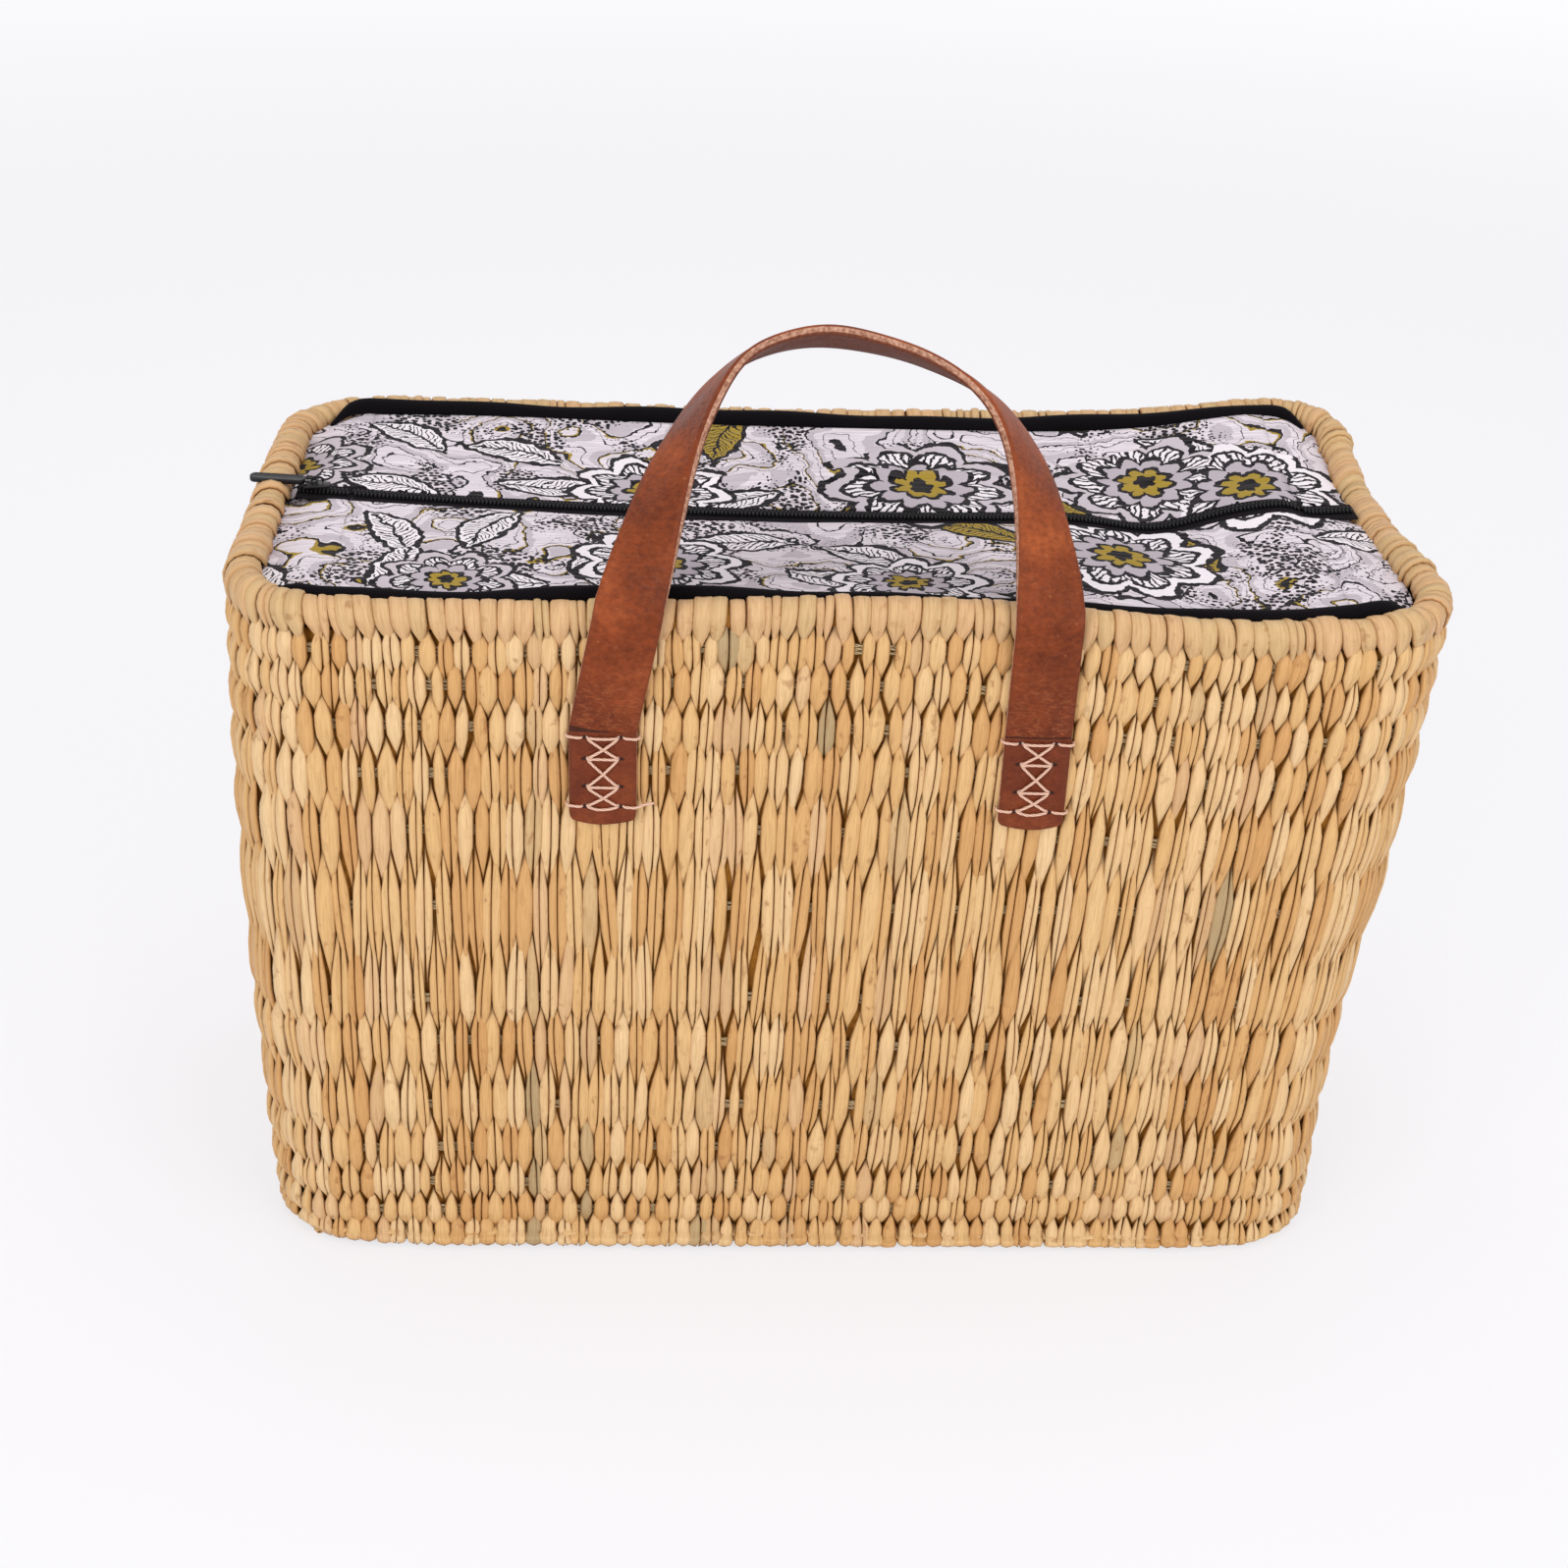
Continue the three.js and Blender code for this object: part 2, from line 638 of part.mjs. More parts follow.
// One length of thread between two points of the tab's plane
function thread(from, to) {
  const start = new THREE.Vector3(...from);
  const run = new THREE.Vector3(...to).sub(start);
  const radius = threadDiameter / 2;
  const geometry = new THREE.CylinderGeometry(radius, radius, run.length(), threadSides);
  const turn = new THREE.Quaternion().setFromUnitVectors(new THREE.Vector3(0, 1, 0), run.clone().normalize());
  const middle = start.addScaledVector(run, 0.5);
  return geometry.applyQuaternion(turn).translate(middle.x, middle.y, middle.z);
}

// Lacing: a bar and two legs through each row of holes, crosses between the rows,
// and end stitches that turn over the tab's edges on to the wall
function lacingGeometry() {
  const overFace = 2 * seatGap + strapThickness + threadDiameter / 2;
  const holeFoot = seatGap + threadDiameter;
  const wallFoot = seatGap + threadDiameter / 2;
  const edgeX = strapWidth / 2 + seatGap + threadDiameter / 2;
  const holeX = lacingHoleSpacing / 2;
  const rowsY = lacingRows.map((drop) => -drop - lacingHoleDiameter / 2);
  const lengths = [];
  rowsY.forEach((y, row) => {
    lengths.push(thread([-holeX, y, overFace], [holeX, y, overFace]));
    [-1, 1].forEach((side) => {
      lengths.push(thread([side * holeX, y, overFace], [side * holeX, y, holeFoot]));
      if (row > 0) {
        lengths.push(thread([side * holeX, y, overFace], [-side * holeX, rowsY[row - 1], overFace]));
      }
      if (row === 0 || row === rowsY.length - 1) {
        lengths.push(thread([side * holeX, y, overFace], [side * edgeX, y, overFace]));
        lengths.push(thread([side * edgeX, y, overFace], [side * edgeX, y, wallFoot]));
      }
    });
  });
  return joinSolids(lengths);
}

[['front', frontSide], ['back', backSide]].forEach(([name, sideGroup]) => {
  [['left', -1], ['right', 1]].forEach(([hand, side]) => {
    const tabGroup = new THREE.Group();
    tabGroup.position.set(side * (handleSpacing / 2), tabFaceY, tabTop);
    tabGroup.rotation.x = Math.PI / 2 + wallTilt;
    sideGroup.add(tabGroup);
    addMesh(`${name}_${hand}_tab`, tabGeometry(), leatherFinish, tabGroup);
    addMesh(`${name}_${hand}_lacing`, lacingGeometry(), threadFinish, tabGroup);
  });
});

// Strap skin from its frames: where it runs, which way its grain faces, where it heads
function strapGeometry(frames) {
  const rows = frames.map(({ at, grain, heading }) => {
    const across = grain.clone().cross(heading).normalize();
    const face = heading.clone().cross(across).normalize();
    return [[-1, -1], [1, -1], [1, 1], [-1, 1]].map(([edge, skin]) => at.clone()
      .addScaledVector(across, edge * (strapWidth / 2))
      .addScaledVector(face, skin * (strapThickness / 2)));
  });
  return skinRows(rows, false);
}

// Arch of the strap in its own leaning plane, turning its grain from forward to upward
function archFrames(foot, lean) {
  const rise = new THREE.Vector3(0, Math.sin(lean), Math.cos(lean));
  const forward = new THREE.Vector3(0, -Math.cos(lean), Math.sin(lean));
  const line = new THREE.CatmullRomCurve3(archLine.map(([across, up]) => foot.clone()
    .add(new THREE.Vector3(across * archHalfWidth, 0, 0))
    .addScaledVector(rise, up * archRise)));
  return Array.from({ length: archSteps + 1 }, (_, step) => {
    const at = line.getPointAt(step / archSteps);
    const heading = line.getTangentAt(step / archSteps);
    const upShare = Math.max(at.clone().sub(foot).dot(rise) / archRise, 0);
    const twist = rad(archTwist) * upShare ** 0.75;
    const out = forward.clone().cross(heading);
    const grain = forward.clone().multiplyScalar(Math.cos(twist)).addScaledVector(out, Math.sin(twist));
    return { at, grain, heading };
  });
}

// Frames up one leg of a strap through points of its side view, from tab to arch
function legFrames(points, fromX, toX) {
  const foot = points[0];
  const top = points[points.length - 1];
  return points.slice(0, -1).map(([y, z], index) => {
    const before = points[Math.max(index - 1, 0)];
    const after = points[index + 1];
    const heading = new THREE.Vector3(0, after[0] - before[0], after[1] - before[1]).normalize();
    const grain = new THREE.Vector3(0, -heading.z, heading.y);
    const x = lerp(fromX, toX, (z - foot[1]) / (top[1] - foot[1]));
    return { at: new THREE.Vector3(x, y, z), grain, heading };
  });
}

function mirroredLeg(frames) {
  return frames.map(({ at, grain, heading }) => ({ at, grain, heading: heading.clone().negate() })).reverse();
}

// Front strap: up the wall, over the rim roll and leaning back above the lid
const strapFootY = tabFaceY - strapMidOffset;
const strapFootZ = tabTop + flapGap;
const rimCentreY = -(halfDepthAt(rimCentreZ) - rimRollRadius);
const bendRadius = rimRollRadius + runningGap + strapThickness / 2 + seatGap;
const bendPoints = Array.from({ length: bendSteps + 1 }, (_, step) => {
  const angle = rad(archLean) * (step / bendSteps);
  return [rimCentreY - bendRadius * Math.cos(angle), rimCentreZ + bendRadius * Math.sin(angle)];
});
const legPoints = [[strapFootY, strapFootZ], ...bendPoints];
const archFoot = new THREE.Vector3(0, ...bendPoints[bendSteps]);
const footX = handleSpacing / 2;
const archLeft = archLine[0][0] * archHalfWidth;
const archRight = archLine[archLine.length - 1][0] * archHalfWidth;
const frontFrames = [
  ...legFrames(legPoints, -footX, archLeft),
  ...archFrames(archFoot, rad(archLean)),
  ...mirroredLeg(legFrames(legPoints, footX, archRight)),
];
addMesh('front_strap', strapGeometry(frontFrames), leatherFinish, frontSide);

// Back strap: the same strap, straight, folded down over its tabs
const backHinge = new THREE.Group();
backHinge.position.set(0, hingeY, hingeZ);
backHinge.rotation.x = rad(backHandleHang);
backSide.add(backHinge);
const backFootY = strapFootY - hingeY;
const backLegHeights = [strapFootZ, (strapFootZ + rimHeight) / 2, rimHeight];
const backLegPoints = backLegHeights.map((z) => [backFootY, z - hingeZ]);
const backArchFoot = new THREE.Vector3(0, backFootY, rimHeight - hingeZ);
const backFrames = [
  ...legFrames(backLegPoints, -footX, archLeft),
  ...archFrames(backArchFoot, 0),
  ...mirroredLeg(legFrames(backLegPoints, footX, archRight)),
];
addMesh('back_strap', strapGeometry(backFrames), leatherFinish, backHinge);

export default bag;
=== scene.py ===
import math

import bmesh
import bpy
import numpy as np
from mathutils import Matrix, Vector
from numpy import cos, exp, pi, sin, sqrt


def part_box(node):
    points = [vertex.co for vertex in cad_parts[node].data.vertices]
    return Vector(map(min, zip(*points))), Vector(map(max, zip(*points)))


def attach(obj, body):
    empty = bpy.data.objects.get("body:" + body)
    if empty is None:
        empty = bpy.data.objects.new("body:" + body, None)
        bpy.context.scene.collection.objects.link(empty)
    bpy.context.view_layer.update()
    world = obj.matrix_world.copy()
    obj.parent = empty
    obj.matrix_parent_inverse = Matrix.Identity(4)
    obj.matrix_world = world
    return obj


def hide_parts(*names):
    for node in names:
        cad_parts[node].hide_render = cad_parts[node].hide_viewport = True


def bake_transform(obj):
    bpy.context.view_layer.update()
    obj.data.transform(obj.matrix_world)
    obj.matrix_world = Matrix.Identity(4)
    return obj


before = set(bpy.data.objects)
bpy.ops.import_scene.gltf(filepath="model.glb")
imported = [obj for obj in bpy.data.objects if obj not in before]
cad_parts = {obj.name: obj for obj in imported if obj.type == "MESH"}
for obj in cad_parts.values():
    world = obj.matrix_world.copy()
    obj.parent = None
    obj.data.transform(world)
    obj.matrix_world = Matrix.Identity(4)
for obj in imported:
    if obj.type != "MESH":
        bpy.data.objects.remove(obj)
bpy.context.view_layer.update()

# The studio: a pale seamless floor under soft light from above and both sides, seen by a
# camera that stands a little left of the middle and looks down on the lid.
image_side = 1597.0
focal_pixels = 2522.69
aim_pixel = (814.13, 836.68)
aim = Vector((0.0, 0.0, 0.1525))
aim_distance = 1.08514
sensor_width = 36.0
azimuth, elevation, roll = (math.radians(angle) for angle in (-3.68, 29.08, 2.52))
flat_reach = cos(elevation)
behind = Vector((sin(azimuth) * flat_reach, -cos(azimuth) * flat_reach, sin(elevation)))
facing = (-behind).to_track_quat("-Z", "Y").to_matrix() @ Matrix.Rotation(roll, 3, "Z")


def shown(name, data):
    item = bpy.data.objects.new(name, data)
    bpy.context.scene.collection.objects.link(item)
    return item


camera_data = bpy.data.cameras.new("studio_camera")
camera_data.sensor_width = sensor_width
camera_data.lens = sensor_width * focal_pixels / image_side
camera_data.shift_x = 0.5 - aim_pixel[0] / image_side
camera_data.shift_y = aim_pixel[1] / image_side - 0.5
camera = shown("studio_camera", camera_data)
camera.matrix_world = Matrix.Translation(aim + aim_distance * behind) @ facing.to_4x4()
bpy.context.scene.camera = camera
bpy.context.scene.view_settings.view_transform = "Standard"


class Value:
    """A value in a material's nodes. Sums and comparisons written with it become Math nodes."""

    def __init__(self, tree, socket):
        self.tree = tree
        self.socket = socket

    def __add__(self, other):
        return maths("ADD", self, other)

    def __sub__(self, other):
        return maths("SUBTRACT", self, other)

    def __mul__(self, other):
        return maths("MULTIPLY", self, other)

    def __pow__(self, other):
        return maths("POWER", self, other)

    def __lt__(self, other):
        return maths("LESS_THAN", self, other)

    def __gt__(self, other):
        return maths("GREATER_THAN", self, other)

    def __abs__(self):
        return maths("ABSOLUTE", self)


def plug(node, inputs):
    """Sets a node's inputs to numbers and colours, or links them to values."""
    for key, value in inputs.items():
        if isinstance(value, Value):
            value.tree.links.new(value.socket, node.inputs[key])
        else:
            node.inputs[key].default_value = value


def wire(tree, kind, inputs, output=0, **settings):
    """Adds a shader node and gives one of its outputs, or a list of several."""
    node = tree.nodes.new("ShaderNode" + kind)
    for key, value in settings.items():
        setattr(node, key, value)
    plug(node, inputs)
    if isinstance(output, tuple):
        return [Value(tree, node.outputs[key]) for key in output]
    return Value(tree, node.outputs[output])


def maths(operation, first, second=0.0):
    return wire(first.tree, "Math", {0: first, 1: second}, operation=operation)


def vectors(operation, first, second=(0.0, 0.0, 0.0), third=(0.0, 0.0, 0.0), output=0):
    return wire(first.tree, "VectorMath", {0: first, 1: second, 2: third}, output, operation=operation)


def ranged(value, low, high, start=0.0, end=1.0, how="LINEAR"):
    limits = {0: value, 1: low, 2: high, 3: start, 4: end}
    return wire(value.tree, "MapRange", limits, interpolation_type=how)


def object_place(finish):
    return wire(finish.node_tree, "TexCoord", {}, "Object")


def tone(red, green, blue):
    shares = [part / 255.0 for part in (red, green, blue)]
    return tuple(((s + 0.055) / 1.055) ** 2.4 if s > 0.04 else s / 12.92 for s in shares) + (1.0,)


def seen_directly(tree):
    rays = ("Is Camera Ray", "Is Glossy Ray", "Is Transmission Ray")
    straight, mirrored, passed = wire(tree, "LightPath", {}, rays)
    return maths("MAXIMUM", maths("MAXIMUM", straight, mirrored), passed)


studio_white = tone(253, 252, 254)
world = bpy.data.worlds.new("studio")
bpy.context.scene.world = world
world.use_nodes = True
sky = world.node_tree
sky_light = sky.nodes["Background"]
plug(sky_light, {"Color": tone(252, 252, 255), "Strength": 0.62})
backdrop = wire(sky, "Background", {"Color": studio_white, "Strength": 1.0})
sky_mix = wire(sky, "MixShader", {0: seen_directly(sky), 1: Value(sky, sky_light.outputs[0]), 2: backdrop})
plug(sky.nodes["World Output"], {"Surface": sky_mix})

for name, place, size, watts in (
    ("left_softbox", (-1.6, -2.2, 1.3), 1.8, 34.0),
    ("right_softbox", (1.7, -2.0, 1.2), 1.8, 27.0),
    ("overhead_softbox", (0.1, 0.3, 2.4), 1.6, 15.0),
):
    lamp_data = bpy.data.lights.new(name, "AREA")
    lamp_data.size = size
    lamp_data.energy = watts
    lamp = shown(name, lamp_data)
    lamp.location = place
    lamp.rotation_euler = (aim - Vector(place)).to_track_quat("-Z", "Y").to_euler()

# Near the bag the floor takes its shadow, and far off it glows like the backdrop
floor_paper = bpy.data.materials.new("floor_paper")
floor_paper.use_nodes = True
paper = floor_paper.node_tree
paper.nodes.remove(paper.nodes["Principled BSDF"])
paper_matt = wire(paper, "BsdfDiffuse", {"Color": tone(236, 235, 240)})
paper_reach = vectors("LENGTH", object_place(floor_paper), output="Value")
far_off = ranged(paper_reach, 1.2, 3.2, how="SMOOTHSTEP")
paper_share = seen_directly(paper) * (far_off * 0.3 + 0.7)
paper_glow = wire(paper, "Emission", {"Color": studio_white, "Strength": 1.0})
paper_mix = wire(paper, "MixShader", {0: paper_share, 1: paper_matt, 2: paper_glow})
plug(paper.nodes["Material Output"], {"Surface": paper_mix})
bm = bmesh.new()
bmesh.ops.create_grid(bm, x_segments=4, y_segments=4, size=9.0)
floor_mesh = bpy.data.meshes.new("floor")
bm.to_mesh(floor_mesh)
bm.free()
floor_mesh.materials.append(floor_paper)
floor = shown("floor", floor_mesh)

# The base: a mat of split reeds running from front to back in staggered rows, which the
# wall's reeds turn under to meet. Dried reed all through, straw to honey in colour.
mm = 0.001
random = np.random.default_rng(41)
rim_height, rim_shift = 305.0, 8.0
base_half_x, base_half_y, base_corner = 225.0, 103.0, 36.0
flare_x, flare_y, corner_flare = 10.0, 7.0, 4.0
front_half, side_half, corner_run = 192.0, 68.5, 38.0 * pi / 2
girth = 4 * (front_half + side_half + corner_run)
corner_runs = np.cumsum([0, front_half, corner_run, 2 * side_half, corner_run, 2 * front_half,
                         corner_run, 2 * side_half, corner_run, front_half])
corner_x = np.array([0, 1, 1, 1, 1, -1, -1, -1, -1, 0])
corner_y = np.array([-1, -1, -1, 1, 1, 1, 1, -1, -1, -1])
corner_turn = np.radians([-90, -90, 0, 0, 90, 90, 180, 180, 270, 270])
rim_swells = ((-3.5, 0.88, 0.06), (-7.0, 0.115, 0.05), (-2.5, 0.255, 0.03), (10.5, 0.335, 0.05),
              (2.0, 0.62, 0.06))


def smooth(value, low, high):
    share = np.clip((value - low) / (high - low), 0.0, 1.0)
    return share * share * (3.0 - 2.0 * share)


def bell(value, middle, width):
    return exp(-((value - middle) / width) ** 2)


def hump(turn, middle, width):
    """A bell on the way round, where turn 1 is turn 0 again."""
    return bell((turn - middle + 0.5) % 1.0, 0.5, width)


def points(x, y, z):
    return np.stack(np.broadcast_arrays(x, y, z), -1)


def handmade(turn, height):
    """How far the hand-woven wall strays from its plan, in mm outwards."""
    share = np.clip(height / rim_height, 0.0, 1.0)
    bow_in = -4.0 * hump(turn, 0.28, 0.05) * share ** 2
    belly = 4.2 * hump(turn, 0.80, 0.05) * 4.0 * share * (1.0 - share)
    shoulder = smooth(share, 0.35, 0.65) * (1.0 - 0.25 * share ** 4) + 0.5 * smooth(-share, -0.2, -0.05)
    ripple = 0.8 * sin(2 * pi * (5 * turn + 0.1)) * sin(pi * share)
    return bow_in + belly + 4.4 * hump(turn, 0.18, 0.045) * shoulder + ripple


def settled(turn):
    """How far the rim has sunk or risen out of level, in mm."""
    return sum(rise * hump(turn, middle, width) for rise, middle, width in rim_swells)


def on_wall(turn, height, out):
    """A place on the basket in mm: turn goes once round from the middle of the front towards
    the right, and out is how far it stands outside the rim's plan."""
    run = (turn % 1.0) * girth
    share = height / rim_height
    corner_radius = base_corner + corner_flare * share
    angle = np.interp(run, corner_runs, corner_turn)
    swing = corner_radius + out + handmade(turn, height)
    reach_x = base_half_x + flare_x * share - corner_radius
    reach_y = base_half_y + flare_y * share - corner_radius
    x = rim_shift * share + np.interp(run, corner_runs, corner_x) * reach_x + swing * cos(angle)
    y = np.interp(run, corner_runs, corner_y) * reach_y + swing * sin(angle)
    z = height + settled(turn) * np.clip(share, 0.0, 1.0) ** 2
    return points(x, y, z)


def new_piece(name, bm, finish, body="basket", stands_for=()):
    mesh = bpy.data.meshes.new(name)
    bm.to_mesh(mesh)
    bm.free()
    mesh.shade_smooth()
    mesh.materials.append(finish)
    piece = shown(name, mesh)
    if body:
        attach(piece, body)
    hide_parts(*stands_for)
    return piece


def new_finish(name):
    finish = bpy.data.materials.new(name)
    finish.use_nodes = True
    return finish


def dress(finish, colour, rough, shine, normal=None, more=None):
    """Gives a material its colour, roughness, shine and bumps, each a number or a value."""
    inputs = {"Base Color": colour, "Roughness": rough, "Specular IOR Level": shine}
    if normal is not None:
        inputs["Normal"] = normal
    plug(finish.node_tree.nodes["Principled BSDF"], inputs | (more or {}))


def mixed(share, first, second, how="MIX"):
    tree = share.tree if isinstance(share, Value) else first.tree
    return wire(tree, "Mix", {0: share, 6: first, 7: second}, 2, data_type="RGBA", blend_type=how)


def layered(colour, *layers):
    """Lays colours over one another in turn. A layer has its share, its colour and how it mixes."""
    for share, over, *how in layers:
        colour = mixed(share, colour, over, *how)
    return colour


def stepped(share, stops):
    ramp = share.tree.nodes.new("ShaderNodeValToRGB")
    while len(ramp.color_ramp.elements) < len(stops):
        ramp.color_ramp.elements.new(0.5)
    for element, (place, colour) in zip(ramp.color_ramp.elements, stops):
        element.position = place
        element.color = colour
    plug(ramp, {0: share})
    return Value(share.tree, ramp.outputs[0])


def colour_steps(share, *stops):
    return stepped(share, [(place, tone(*colour)) for place, *colour in stops])


def light_steps(share, *stops):
    return stepped(share, [(place, (*light, 1.0)) for place, *light in stops])


def own_attribute(finish, name):
    return wire(finish.node_tree, "Attribute", {}, "Vector", attribute_name=name)


def split(vector):
    return wire(vector.tree, "SeparateXYZ", {0: vector}, (0, 1, 2))


def joined(x, y, z):
    return wire(x.tree, "CombineXYZ", {0: x, 1: y, 2: z})


def noise(place, scale, detail=2.0, rough=0.5, bent=0.0, output=0, **settings):
    inputs = {"Vector": place, "Scale": scale, "Detail": detail, "Roughness": rough, "Distortion": bent}
    return wire(place.tree, "TexNoise", inputs, output, **settings)


def bump(height, strength, depth):
    """A normal bent by the height, with its depth in mm."""
    return wire(height.tree, "Bump", {"Strength": strength, "Distance": depth * mm, "Height": height})


reed_finish = new_finish("dried_reed")
across, along, own = split(own_attribute(reed_finish, "reed"))
tint, tip, blemish = split(own_attribute(reed_finish, "tint"))
reed_colour = colour_steps(
    tint, (0.0, 204, 155, 97), (0.25, 215, 172, 114), (0.55, 220, 181, 126), (0.88, 227, 194, 146),
    (0.94, 210, 169, 123), (0.985, 203, 172, 123), (1.0, 178, 153, 112))
streak = noise(joined(across * 2.6 + own * 31.0, along * 0.05, own), 1.6, 3.0)
streak_light = light_steps(
    streak, (0.25, 0.78, 0.72, 0.64), (0.5, 0.97, 0.96, 0.95), (0.75, 1.05, 1.05, 1.05))
fibre = noise(joined(across * 9.0 + own * 57.0, along * 0.09, own), 1.5)
fibre_light = light_steps(fibre, (0.3, 0.86, 0.83, 0.78), (0.6, 1.02, 1.02, 1.02))
# Painted shade: each float is coloured deep brown towards its sides and tips, where it dives into the crevices
edge = abs(across) ** 7.0
tip_painted_shade = ranged(tip, 0.66, 1.0, 0.0, 0.8, "SMOOTHSTEP")
spot_noise = noise(joined(across * 0.8, along * 0.16, own * 91.0), 1.0, 4.0)
spots = ranged(spot_noise, 0.58, 0.72, how="SMOOTHSTEP") * (blemish * 0.7)
reed_colour = layered(
    reed_colour, (1.0, streak_light, "MULTIPLY"), (0.8, fibre_light, "MULTIPLY"),
    (maths("MAXIMUM", edge * 0.5, tip_painted_shade), tone(146, 84, 20)), (spots, tone(150, 98, 52)))
reed_rough = ranged(streak, 0.3, 0.7, 0.58, 0.4)
dress(reed_finish, reed_colour, reed_rough, edge * -0.26 + 0.3, bump(fibre, 0.35, 0.4))


def many_balls(sides, steps, count):
    """A bmesh of count equal closed balls, and the places of the first one's vertices."""
    bm = bmesh.new()
    bmesh.ops.create_uvsphere(bm, u_segments=sides, v_segments=steps, radius=1.0)
    ball = bpy.data.meshes.new("ball")
    bm.to_mesh(ball)
    bm.clear()
    bm.from_mesh(ball)
    bpy.data.meshes.remove(ball)
    one = np.array([vert.co for vert in bm.verts])
    while len(bm.verts) < count * len(one):
        bmesh.ops.duplicate(bm, geom=bm.verts[:] + bm.edges[:] + bm.faces[:])
    bmesh.ops.delete(bm, geom=bm.verts[:][count * len(one):], context="VERTS")
    return bm, one


def lay_reeds(name, steps, place, tints, length, stands_for):
    """Lays a row of tints as split reeds in one piece. Each is a closed spindle of seven sides,
    five of them in front. place gets shares across, along and through a reed and gives mm."""
    side_across = np.array([-1.0, -0.78, 0.0, 0.78, 1.0, 0.6, -0.6])
    side_through = np.array([0.0, 0.8, 1.0, 0.8, 0.0, -0.6, -0.6])
    sides = len(side_across)
    bm, one = many_balls(sides, steps, len(tints))
    along = 1.0 - 2.0 * np.arccos(np.clip(one[:, 2], -1.0, 1.0)) / pi
    side = np.round(np.arctan2(one[:, 1], one[:, 0]) / (2 * pi / sides)).astype(int) % sides
    inner = np.abs(along) < 0.999
    across = side_across[side] * inner
    through = side_through[side] * inner
    laid = place(across[None], along[None], through[None])
    piece = new_piece(name, bm, reed_finish, stands_for=stands_for)
    mesh = piece.data
    mesh.vertices.foreach_set("co", (laid * mm).astype(np.float32).ravel())
    shares = points(across[None], along[None] * length[:, None], tints[:, 1:2] * 7.0)
    tint_rows = points(tints[:, 0:1], np.abs(along)[None], tints[:, 1:2])
    for title, values in (("reed", shares), ("tint", tint_rows)):
        layer = mesh.attributes.new(title, "FLOAT_VECTOR", "POINT")
        layer.data.foreach_set("vector", np.ascontiguousarray(values, np.float32).ravel())
    mesh.update()
    return piece


def thicken(bm, height):
    """Draws flat faces up into a solid of that height."""
    raised = bmesh.ops.extrude_face_region(bm, geom=bm.faces[:])["geom"]
    raised = [part for part in raised if isinstance(part, bmesh.types.BMVert)]
    bmesh.ops.translate(bm, vec=(0, 0, height), verts=raised)
    bmesh.ops.recalc_face_normals(bm, faces=bm.faces[:])


core_foot, core_thick, core_inset = 2.4, 4.4, 4.0
bm = bmesh.new()
bmesh.ops.create_circle(bm, cap_ends=True, segments=96, radius=1.0)
for vert in bm.verts:
    turn = math.atan2(vert.co.x, -vert.co.y) / (2 * pi)
    vert.co = Vector(on_wall(np.array(turn), np.array(core_foot), -core_inset)) * mm
thicken(bm, core_thick * mm)
# The core stands for the reeds hidden behind the floats, coloured a deeper, more saturated brown than they
# are: partly painted shade for the gaps between the floats
core_finish = new_finish("reed_core")
core_ribs = noise(object_place(core_finish), 320.0)
dress(core_finish, colour_steps(core_ribs, (0.3, 152, 94, 26), (0.7, 190, 130, 52)), 0.8, 0.1)
new_piece("base_core", bm, core_finish, stands_for=("base_mat",))

base_pitch, base_columns, base_reach = 3.3, 67, 97.0
base_x, base_y = [], []
for row, y in enumerate(np.arange(-90.0, 91.0, 20.0)):
    for column in range(-base_columns, base_columns + 1):
        x = base_pitch * column
        past_x = max(abs(x) - (base_half_x - base_corner), 0.0)
        past_y = max(abs(y) - (base_half_y - base_corner), 0.0)
        if (column + row) % 2 == 0 and np.hypot(past_x, past_y) < base_corner - 5.0:
            base_x.append(x)
            base_y.append(y)
base_x, base_y = np.array(base_x), np.array(base_y)
base_width = random.uniform(2.7, 3.2, len(base_x))
base_length = random.uniform(13.0, 15.0, len(base_x))


def under_base(across, along, through):
    waist = 1.0 - smooth(np.abs(along), 0.1, 1.0)
    x = base_x[:, None] + across * base_width[:, None] * waist
    y = np.clip(base_y[:, None] - along * base_length[:, None], -base_reach, base_reach)
    return points(x, y, 1.4 + 1.2 * along ** 2 - 1.2 * through * sqrt(waist))


base_tints = random.uniform(0, 1, (len(base_x), 2))
lay_reeds("base_reeds", 6, under_base, base_tints, base_length, ("base_mat",))

# The wall: about four hundred split reeds stand side by side and pass in turn over and under
# twelve rows of twine, so each row shows plump leaf-shaped floats that bed between the
# next row's. Sun-dried, uneven in colour and width, some split in two.
row_heights = [(sum(corner.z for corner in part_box("weft_cord_%02d" % row)) / 2) / mm for row in range(1, 13)]
row_heights = np.array(row_heights + [6.0])
row_above = np.concatenate(([300.0], row_heights[:-1]))
row_below = np.concatenate((row_heights[1:], [-6.0]))
reed_count = 396
reed_turns = (np.arange(reed_count) + 0.5 + random.uniform(-0.16, 0.16, reed_count)) / reed_count
reed_tints = random.uniform(0, 1, reed_count)
reed_plump = random.normal(1.0, 0.06, reed_count)


def room_for(reed):
    """The share of the girth between a reed's two neighbours."""
    return (reed_turns[(reed + 1) % reed_count] - reed_turns[reed - 1]) % 1.0


